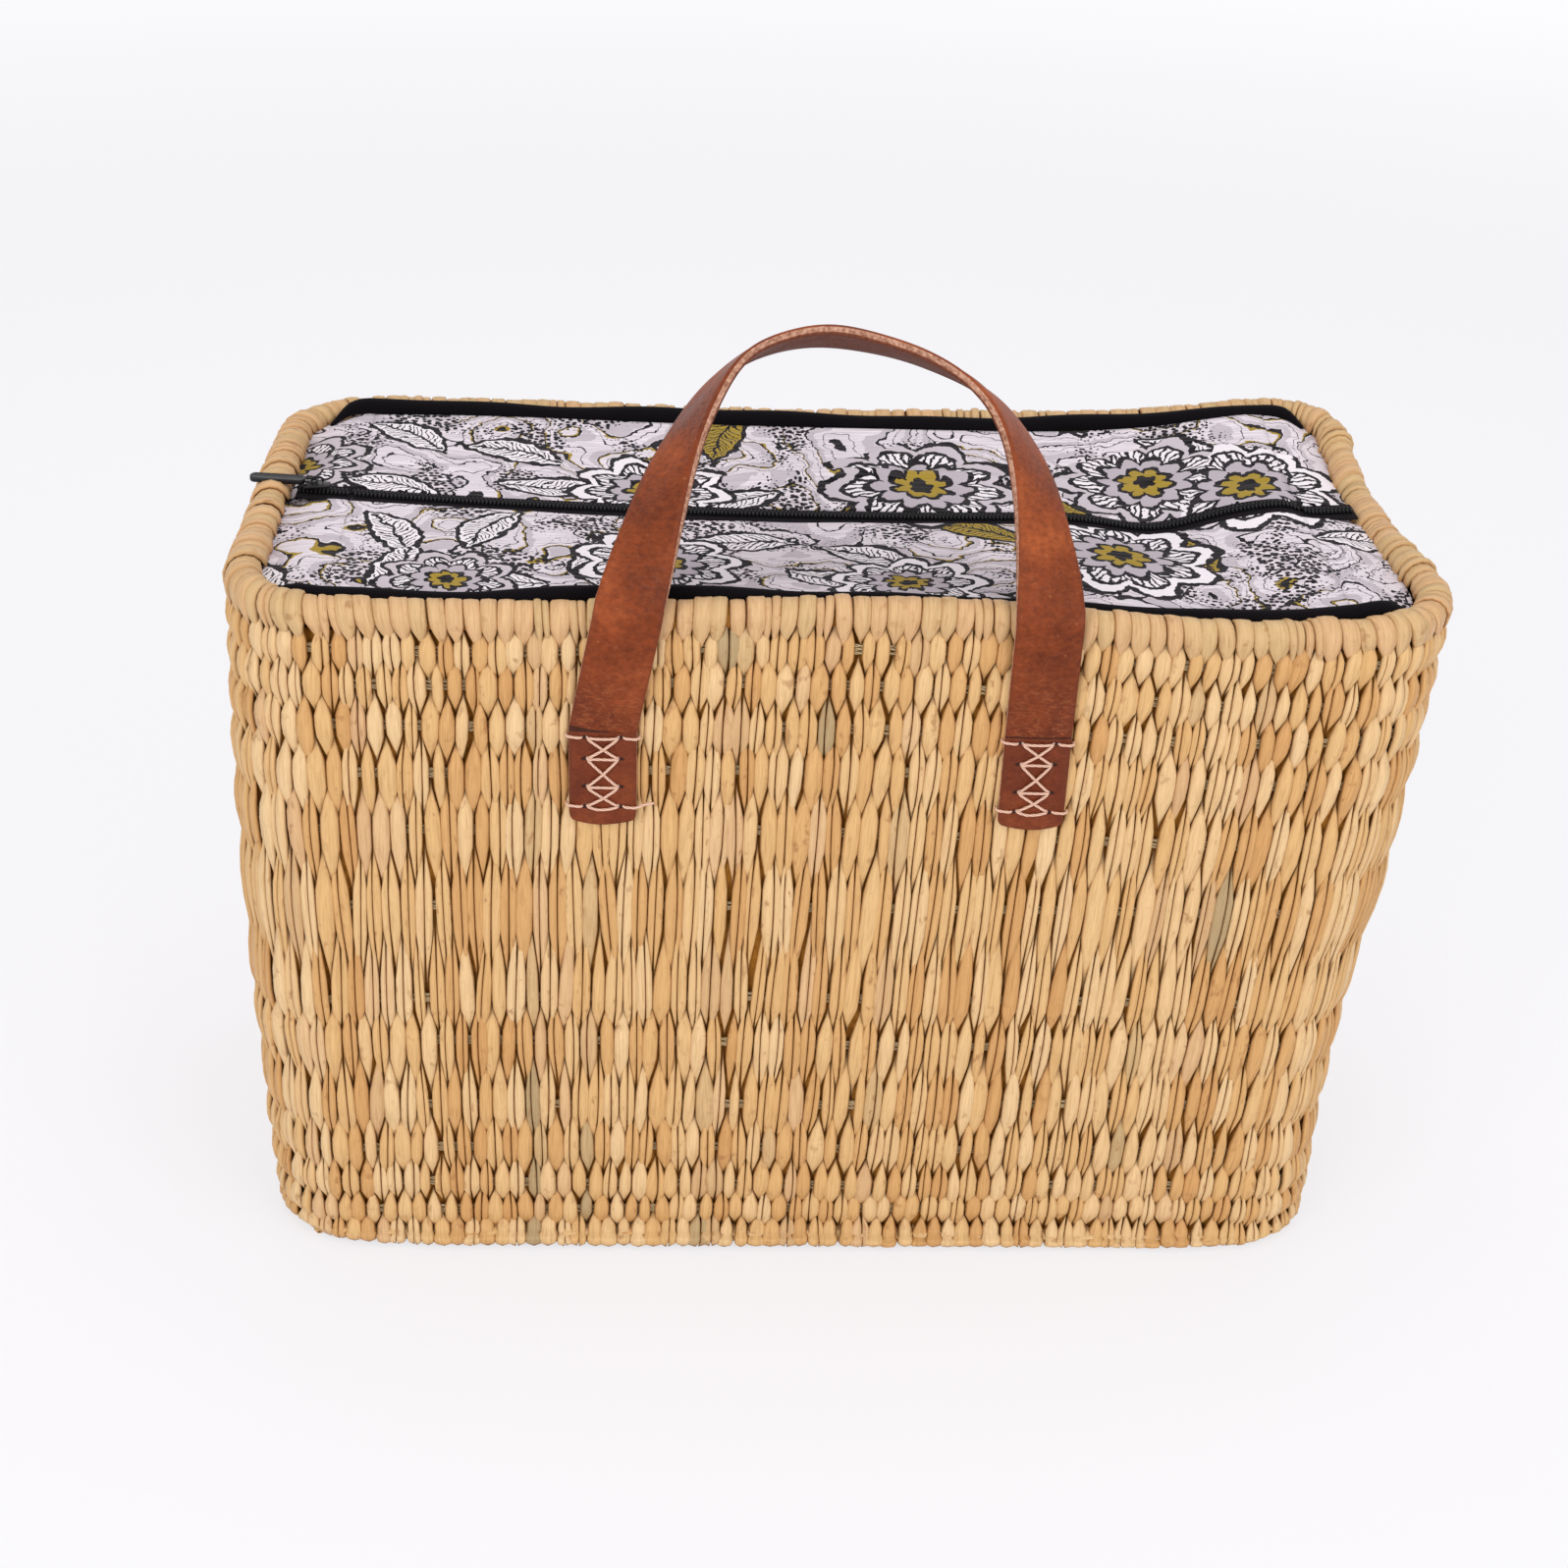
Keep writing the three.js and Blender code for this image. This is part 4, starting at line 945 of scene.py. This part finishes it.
# The slider and pull: die-cast and painted gloss black. The slider grips both coils between
# its plates, and the pull's eye hangs on the bail and lies over the left rim.
casting_finish = new_finish("black_casting")
cast_noise = noise(object_place(casting_finish), 260.0, 3.0)
cast_colour = colour_steps(cast_noise, (0.35, 8, 7, 8), (0.72, 19, 17, 19))
dress(casting_finish, cast_colour, ranged(cast_noise, 0.0, 1.0, 0.28, 0.5), 0.25,
      more={"Coat Weight": 0.06, "Coat Roughness": 0.2})
slider_at = np.array([-201.218, zip_line, 0.0])
plate_long, plate_wide, plate_nose, plate_round = 10.0, 8.0, 0.6, 0.32
plate_levels, bail_radius, post_radius = ((303.15, 304.25), (298.65, 299.5)), 0.5, 0.4


def round_off(bm, edges, width):
    bmesh.ops.bevel(bm, geom=edges, offset=width, segments=2, profile=0.5, affect="EDGES", material=-1)


bm = bmesh.new()
for low, high in plate_levels:
    plate = bmesh.ops.create_cube(bm, size=1.0)["verts"]
    for vert in plate:
        pinch = plate_nose if vert.co.x > 0 else 1.0
        corner = [vert.co.x * plate_long, vert.co.y * plate_wide * pinch, low if vert.co.z < 0 else high]
        vert.co = (slider_at + np.array(corner)) * mm
    edges = list({edge for vert in plate for edge in vert.link_edges})
    round_off(bm, edges, plate_round * mm)
bail = [(-2.2, 303.8), (-2.2, 306.0), (-1.9, 306.6), (-1.2, 306.95),
        (1.2, 306.95), (1.9, 306.6), (2.2, 306.0), (2.2, 303.8)]
add_tube(bm, [slider_at + np.array([x, 0.0, z]) for x, z in bail], bail_radius, 8)
post = [slider_at + np.array([-3.4, 0.0, z]) for z in (299.2, 300.2, 301.6, 303.0, 303.8)]
add_tube(bm, post, post_radius, 8)
new_piece("slider_casting", bm, casting_finish, "slider", ("zip_slider",))

# The pull lies flat about its own eye here, in mm, and is then set on the bail
tongue_middle, tongue_half, tongue_end, tongue_wide, tongue_thick = -15.8, 8.7, 2.5, 3.3, 2.0
tongue_round, tongue_rim, tongue_sunk, eye_radius, eye_height, pull_tilt = 0.35, 0.7, 0.25, 0.55, 305.35, 2.5
bm = bmesh.new()
bmesh.ops.create_circle(bm, cap_ends=True, segments=28, radius=1.0)
for vert in bm.verts:
    stretch = -tongue_half if vert.co.x < 0 else tongue_half
    waist = 1.0 - 0.16 * smooth(np.array(vert.co.x), -0.2, 0.9)
    x = vert.co.x * tongue_end + stretch + tongue_middle
    vert.co = (x, vert.co.y * tongue_wide * float(waist), -tongue_thick / 2)
bmesh.ops.recalc_face_normals(bm, faces=bm.faces[:])
thicken(bm, tongue_thick)
rims = [edge for edge in bm.edges if abs(edge.verts[0].co.z - edge.verts[1].co.z) < 0.01]
round_off(bm, rims, tongue_round)
tongue_top = max(bm.faces, key=lambda face: face.calc_center_median().z * face.calc_area())
bmesh.ops.inset_individual(bm, faces=[tongue_top], thickness=tongue_rim, depth=0.0)
bmesh.ops.translate(bm, vec=(0, 0, -tongue_sunk), verts=tongue_top.verts[:])
bmesh.ops.scale(bm, vec=(mm, mm, mm), verts=bm.verts[:])
eye = [(-5.2, -1.2), (-3.4, -2.0), (-0.9, -2.05), (-0.1, -1.5), (0.0, 0.0), (-0.1, 1.5), (-0.9, 2.05),
       (-3.4, 2.0), (-5.2, 1.2)]
add_tube(bm, [(x, y, 0.0) for x, y in eye], eye_radius, 8)
tilt = Matrix.Rotation(math.radians(pull_tilt), 4, "Y")
on_bail = Matrix.Translation(Vector((slider_at[0], zip_line, eye_height)) * mm)
bmesh.ops.transform(bm, matrix=on_bail @ tilt, verts=bm.verts[:])
new_piece("pull_tongue", bm, casting_finish, "pull", ("zip_pull",))

# The handles: one strap of thick chestnut hide each, its two ends laid flat on the wall as
# tabs and laced through. Grain side out, edges cut raw. The front one stands and leans back
# over the lid, and the back one is folded down behind.
strap_half, strap_thick, tab_foot, tab_top = 13.0, 3.6, 213.5, 252.0
tab_length = tab_top - tab_foot
tab_back, strap_stand, wall_slope = 106.784, 2.2, 14.0 / 2 / 305.0
hole_rows, hole_off = (36.0, 26.8, 14.6, 6.0), 6.5
hide_finish = new_finish("chestnut_hide")
hide_across, hide_along, hide_face = split(own_attribute(hide_finish, "hide"))
hide_place = object_place(hide_finish)
mottle = noise(hide_place, 38.0, 3.0)
hide_colour = colour_steps(mottle, (0.28, 102, 43, 15), (0.5, 127, 57, 23), (0.72, 156, 78, 38))
creases = noise(joined(hide_across * 5.0, hide_along * 0.55, hide_face), 1.0, 4.0, bent=0.6)
crease_light = light_steps(creases, (0.34, 0.74, 0.68, 0.64), (0.5, 1.0, 1.0, 1.0), (0.68, 1.16, 1.16, 1.16))
scuffs = ranged(noise(hide_place, 420.0, 5.0, rough=0.7), 0.62, 0.74, 0.0, 0.55)
# above_tab fades out from the tops of the tabs to 76 mm up the legs. Painted shade: the legs are coloured
# darker there, and the tabs darker still
above_tab = ranged(hide_along, tab_length, 76.0, 1.0, 0.0) * (hide_along > tab_length)
wrinkle_noise = noise(joined(hide_across * 0.9, hide_along * 0.2, hide_face), 2.0, 4.0, bent=0.3)
wrinkles = ranged(abs(wrinkle_noise - 0.5), 0.0, 0.03, 1.0, 0.0) * (above_tab * 0.35 + 0.1)
grain_noise = noise(hide_place, 330.0, 4.0)
grain_light = light_steps(grain_noise, (0.3, 0.84, 0.82, 0.8), (0.7, 1.14, 1.14, 1.14))
# Painted shadow: a thin dark line where the strap bends off the top of the tab
fold_painted_shadow = abs(hide_along - tab_length) < 0.4
# Painted shade: each lace hole is coloured nearly black, fading out just past its rim
hole_x = abs(hide_across) * strap_half - (hole_off + 0.1)
for hole_row in hole_rows:
    hole_y = hide_along - hole_row
    hole_far = maths("SQRT", hole_x * hole_x + hole_y * hole_y * 4.0)
    hole_near = hole_far if hole_row == hole_rows[0] else maths("MINIMUM", hole_near, hole_far)
flesh_noise = noise(hide_place, 700.0, 4.0)
flesh = colour_steps(flesh_noise, (0.3, 92, 48, 32), (0.7, 132, 76, 54))
raw_edge = colour_steps(flesh_noise, (0.3, 128, 82, 62), (0.55, 182, 136, 112), (0.75, 208, 168, 146))
raw_mask = abs(hide_face) < 0.45
hide_colour = layered(
    hide_colour, (0.75, crease_light, "MULTIPLY"), (scuffs, tone(186, 116, 74)),
    (above_tab * 0.42 + (hide_along < tab_length) * 0.62, tone(92, 38, 20)),
    (wrinkles, tone(176, 104, 64)), (1.0, grain_light, "MULTIPLY"),
    (abs(hide_across) ** 12.0 * 0.35, tone(96, 44, 26)), (fold_painted_shadow * 0.8, tone(44, 20, 12)),
    (ranged(hole_near, 1.3, 2.0, 0.92, 0.0), tone(38, 16, 12)),
    (hide_face < -0.5, flesh), (raw_mask, raw_edge))
pores = wire(hide_place.tree, "TexVoronoi", {"Vector": hide_place, "Scale": 900.0}, "Distance")
hide_height = wrinkles * 0.8 + (creases * 1.6 + pores * 0.35)
hide_rough = raw_mask * 0.35 + ranged(mottle, 0.3, 0.7, 0.36, 0.56)
dress(hide_finish, hide_colour, hide_rough, 0.17, bump(hide_height, 0.4, 0.8))

# Section of the strap, once round: grain face, cut edge, flesh face, cut edge
edge_in, edge_up = strap_half - 0.25, strap_thick * 0.36
section = [(share * strap_half, strap_thick / 2, 1.0) for share in np.linspace(-0.94, 0.94, 13)]
section += [(edge_in, edge_up, 0.6), (strap_half, 0.0, 0.0), (edge_in, -edge_up, -0.6)]
section += [(share * strap_half, -strap_thick / 2, -1.0) for share in np.linspace(0.94, -0.94, 9)]
section += [(-edge_in, -edge_up, -0.6), (-strap_half, 0.0, 0.0), (-edge_in, edge_up, 0.6)]
section = np.array(section)


def eased(marks, steps, passes):
    """Points along a smooth line by a few given marks."""
    marks = np.asarray(marks, float)
    fine = np.linspace(0, len(marks) - 1, steps)
    spread = np.stack([np.interp(fine, np.arange(len(marks)), column) for column in marks.T], -1)
    for _ in range(passes):
        spread[1:-1] = (spread[:-2] + 2 * spread[1:-1] + spread[2:]) / 4
    return spread


arch_line = [(-73.0, 0.0), (-61.3, 46.3), (-49.1, 76.2), (-32.1, 100.8), (-0.7, 109.3), (30.2, 102.1),
             (52.4, 92.0), (65.8, 79.7), (77.3, 56.9), (82.6, 18.5), (83.0, 0.0)]
full_twist, twist_height = 79.0, 107.0


def arch_points(foot_y, foot_z, lean):
    """The middle line of the strap's arch, and the way its grain faces as it twists."""
    across, up = eased(arch_line, 121, 40).T
    rise = np.array([0.0, sin(lean), cos(lean)])
    forward = np.array([0.0, -cos(lean), sin(lean)])
    level_x = np.array([1.0, 0.0, 0.0])
    at = np.array([0.0, foot_y, foot_z]) + np.outer(across, level_x) + np.outer(up, rise)
    outward = unit(np.outer(-np.gradient(up), level_x) + np.outer(np.gradient(across), rise))
    twist = math.radians(full_twist) * np.clip(up / twist_height, 0.0, 1.0) ** 0.75
    return at, cos(twist)[:, None] * forward + sin(twist)[:, None] * outward


def add_strap(name, spans, stands_for, turned):
    """Draws the strap's section along its middle line, from the foot of one tab to the other's.
    Each span has its points and the way the grain faces."""
    at, grain = (np.concatenate(rows) for rows in zip(*spans))
    gone = lengths_along(at)
    heading = unit(np.gradient(at, axis=0))
    sideways = unit(np.cross(grain, heading))
    facing = np.cross(heading, sideways)
    from_foot = np.minimum(gone, gone[-1] - gone)
    rows, columns = len(at), len(section)
    half_turn = np.array([-1.0, -1.0, 1.0]) if turned else 1.0
    bm = bmesh.new()
    layer = bm.verts.layers.float_vector.new("hide")
    bmesh.ops.create_grid(bm, x_segments=rows - 1, y_segments=columns, size=1.0)
    for vert in bm.verts:
        row = int(round((vert.co.x + 1) / 2 * (rows - 1)))
        edge, face, skin = section[int(round((vert.co.y + 1) / 2 * columns)) % columns]
        near = from_foot[row]
        width = 1.0 - 0.07 * exp(-near / 0.9)
        toe = (1.0 - (edge / strap_half) ** 2) * 2.0 * exp(-near / 3.0)
        toe = toe if row < rows / 2 else -toe
        notch = 0.35 * bell(near, tab_length, 0.7) if skin > 0 else 0.0
        hole = min(math.hypot(abs(edge) - hole_off, near - hole_row) for hole_row in hole_rows)
        dent = bell(hole, 0.0, 1.5) if skin > 0.9 else 0.0
        crown = 0.35 * (1.0 - (edge / strap_half) ** 2) if skin > 0.5 else 0.0
        worn = 0.12 * sin(gone[row] / 6.3 + edge / 3.0)
        spot = at[row] + sideways[row] * edge * width + facing[row] * (face - notch - dent + crown + worn)
        spot = spot - heading[row] * toe
        vert[layer] = (edge / strap_half, near, skin)
        vert.co = spot * half_turn * mm
    bmesh.ops.remove_doubles(bm, verts=bm.verts[:], dist=1e-6)
    bmesh.ops.holes_fill(bm, edges=[edge for edge in bm.edges if edge.is_boundary], sides=0)
    bmesh.ops.recalc_face_normals(bm, faces=bm.faces[:])
    return new_piece(name, bm, hide_finish, None, stands_for)


foot_x, arch_left, arch_right = 83.0, arch_line[0][0], arch_line[-1][0]
lean_angle, bend_y, bend_radius, fold_z = 41.0, -102.839, 9.55, 252.5
tab_z = (np.linspace(tab_foot, 215.0, 4), np.linspace(216.0, 251.0, 32), [251.5, tab_top, fold_z])
tab_z = np.concatenate(tab_z)
tab_y = -(tab_back + (tab_z - tab_top) * wall_slope) - strap_stand
strap_y = -tab_back - strap_stand
leg_z = np.linspace(254.0, 297.0, 24)
leg_y = strap_y + (leg_z - fold_z) / (rim_centre - fold_z) * (bend_y - bend_radius - strap_y)
bend = np.radians(np.linspace(0.0, lean_angle, 8))
bent_y, bent_z = bend_y - bend_radius * cos(bend), rim_centre + bend_radius * sin(bend)
side_y, side_z = np.concatenate((tab_y, leg_y, bent_y[:-1])), np.concatenate((tab_z, leg_z, bent_z[:-1]))


def front_leg(foot_x, top_x):
    x = foot_x + (top_x - foot_x) * np.clip((side_z - tab_top) / (bent_z[-1] - tab_top), 0.0, 1.0)
    at = points(x, side_y, side_z)
    run = np.gradient(at, axis=0)
    return at, unit(points(0.0, -run[:, 2], run[:, 1]))


def backwards(span):
    return [rows[::-1] for rows in span]


arch = arch_points(bent_y[-1], bent_z[-1], math.radians(lean_angle))
spans = (front_leg(-foot_x, arch_left), arch, backwards(front_leg(foot_x, arch_right)))
strap = add_strap("front_handle_strap", spans, ("front_strap", "front_left_tab", "front_right_tab"), False)
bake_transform(strap)

hinge_y, hinge_z, hang, strap_off, arch_foot = -111.684, 252.25, 172.0, 2.7, 52.75
fold = np.linspace(0.0, hang, 15)[1:-1]
back_tab = tab_z < 252.2
up_z = np.linspace(0.4, 52.0, 24)


def hung_back(at, grain, angle):
    """Turns points and grain, given from the hinge, down about it."""
    angle = np.radians(np.broadcast_to(angle, len(at)))
    turned = []
    for rows in (at, grain):
        y = rows[:, 1] * cos(angle) - rows[:, 2] * sin(angle)
        z = rows[:, 1] * sin(angle) + rows[:, 2] * cos(angle)
        turned.append(points(rows[:, 0], y, z))
    return turned[0] + np.array([0.0, hinge_y, hinge_z]), turned[1]


def back_leg(foot_x, top_x):
    tab_at = points(foot_x, tab_y[back_tab], tab_z[back_tab])
    tab_grain = np.tile([0.0, -1.0, wall_slope], (len(tab_at), 1))
    bent = np.tile([foot_x, strap_off, 0.0], (len(fold), 1))
    straight = points(foot_x + (top_x - foot_x) * up_z / arch_foot, strap_off, up_z)
    outwards = np.array([[0.0, -1.0, 0.0]])
    fold_at, fold_grain = hung_back(bent, np.repeat(outwards, len(fold), 0), fold)
    hung_at, hung_grain = hung_back(straight, np.repeat(outwards, len(up_z), 0), hang)
    return np.concatenate((tab_at, fold_at, hung_at)), np.concatenate((tab_grain, fold_grain, hung_grain))


arch = hung_back(*arch_points(strap_off, arch_foot, 0.0), hang)
spans = (back_leg(-foot_x, arch_left), arch, backwards(back_leg(foot_x, arch_right)))
strap = add_strap("back_handle_strap", spans, ("back_strap", "back_left_tab", "back_right_tab"), True)
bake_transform(strap)

# The lacing: cream waxed thread passed through four pairs of holes in each tab, barred across
# every pair, crossed between them, and carried over the tab's edges into the weave.
thread_finish = new_finish("waxed_thread")
thread_plies = twisted(thread_finish, 2.6, 3.0)
thread_colour = colour_steps(thread_plies, (0.0, 196, 146, 120), (0.8, 240, 203, 180))
dress(thread_finish, thread_colour, 0.6, 0.3, bump(thread_plies, 0.6, 0.4))
lace_rows = [row - tab_length for row in hole_rows]
lace_droops = (0.0, 0.5, 0.4, -0.9)
lace_tilt = pi / 2 + math.atan(wall_slope)
lace_radius, over, within = 0.56, 4.85, 2.6


def lace_runs(loose):
    """The runs of thread on one tab: bars, crossings, and the ends that go over its edges."""
    runs = []
    for row, (y, droop) in enumerate(zip(lace_rows, lace_droops)):
        runs.append([(-6.2, y, within), (-5.5, y, over - 0.1), (-2.0, y + droop, over + 0.5),
                     (2.2, y + droop * 0.7, over + 0.5), (5.5, y, over - 0.1), (6.2, y, within)])
        if row:
            above = lace_rows[row - 1]
            for way, lift in ((-1.0, 0.2), (1.0, 1.0)):
                runs.append([(way * 6.0, above - 0.2, within), (way * 5.2, above - 0.8, over),
                             (0.0, (above + y) / 2, over + lift), (-way * 5.2, y + 0.8, over),
                             (-way * 6.0, y + 0.2, within)])
        if row in (0, 3):
            for way, lift in ((-1.0, 0.5), (1.0, -0.3)):
                run = [(way * 7.6, y, within), (way * 8.4, y, over - 0.2), (way * 12.6, y + lift, over - 0.2),
                       (way * 13.9, y + lift, over - 1.4), (way * 14.0, y + lift, 1.2)]
                if loose and row == 3 and way > 0:
                    run[3:] = [(14.2, y + 0.3, over - 0.6), (17.0, y + 0.8, 3.0), (20.0, y + 0.9, 2.6)]
                runs.append(run)
    return runs


def on_tab(marks, tab_x, turned):
    """Places on a tab in mm, from marks across it, up it from its top, and out from its back."""
    across, up, out = marks.T
    x = tab_x + across
    y = -tab_back + up * cos(lace_tilt) - out * sin(lace_tilt)
    z = tab_top + up * sin(lace_tilt) + out * cos(lace_tilt)
    return points(-x, -y, z) if turned else points(x, y, z)


for side, turned in (("front", False), ("back", True)):
    for hand, tab_x in (("left", -foot_x), ("right", foot_x)):
        bm = bmesh.new()
        for run in lace_runs(hand == "left" and not turned):
            add_tube(bm, on_tab(eased(run, 26, 2), tab_x, turned), lace_radius, 8)
        new_piece("%s_%s_thread" % (side, hand), bm, thread_finish,
                  stands_for=("%s_%s_lacing" % (side, hand),))
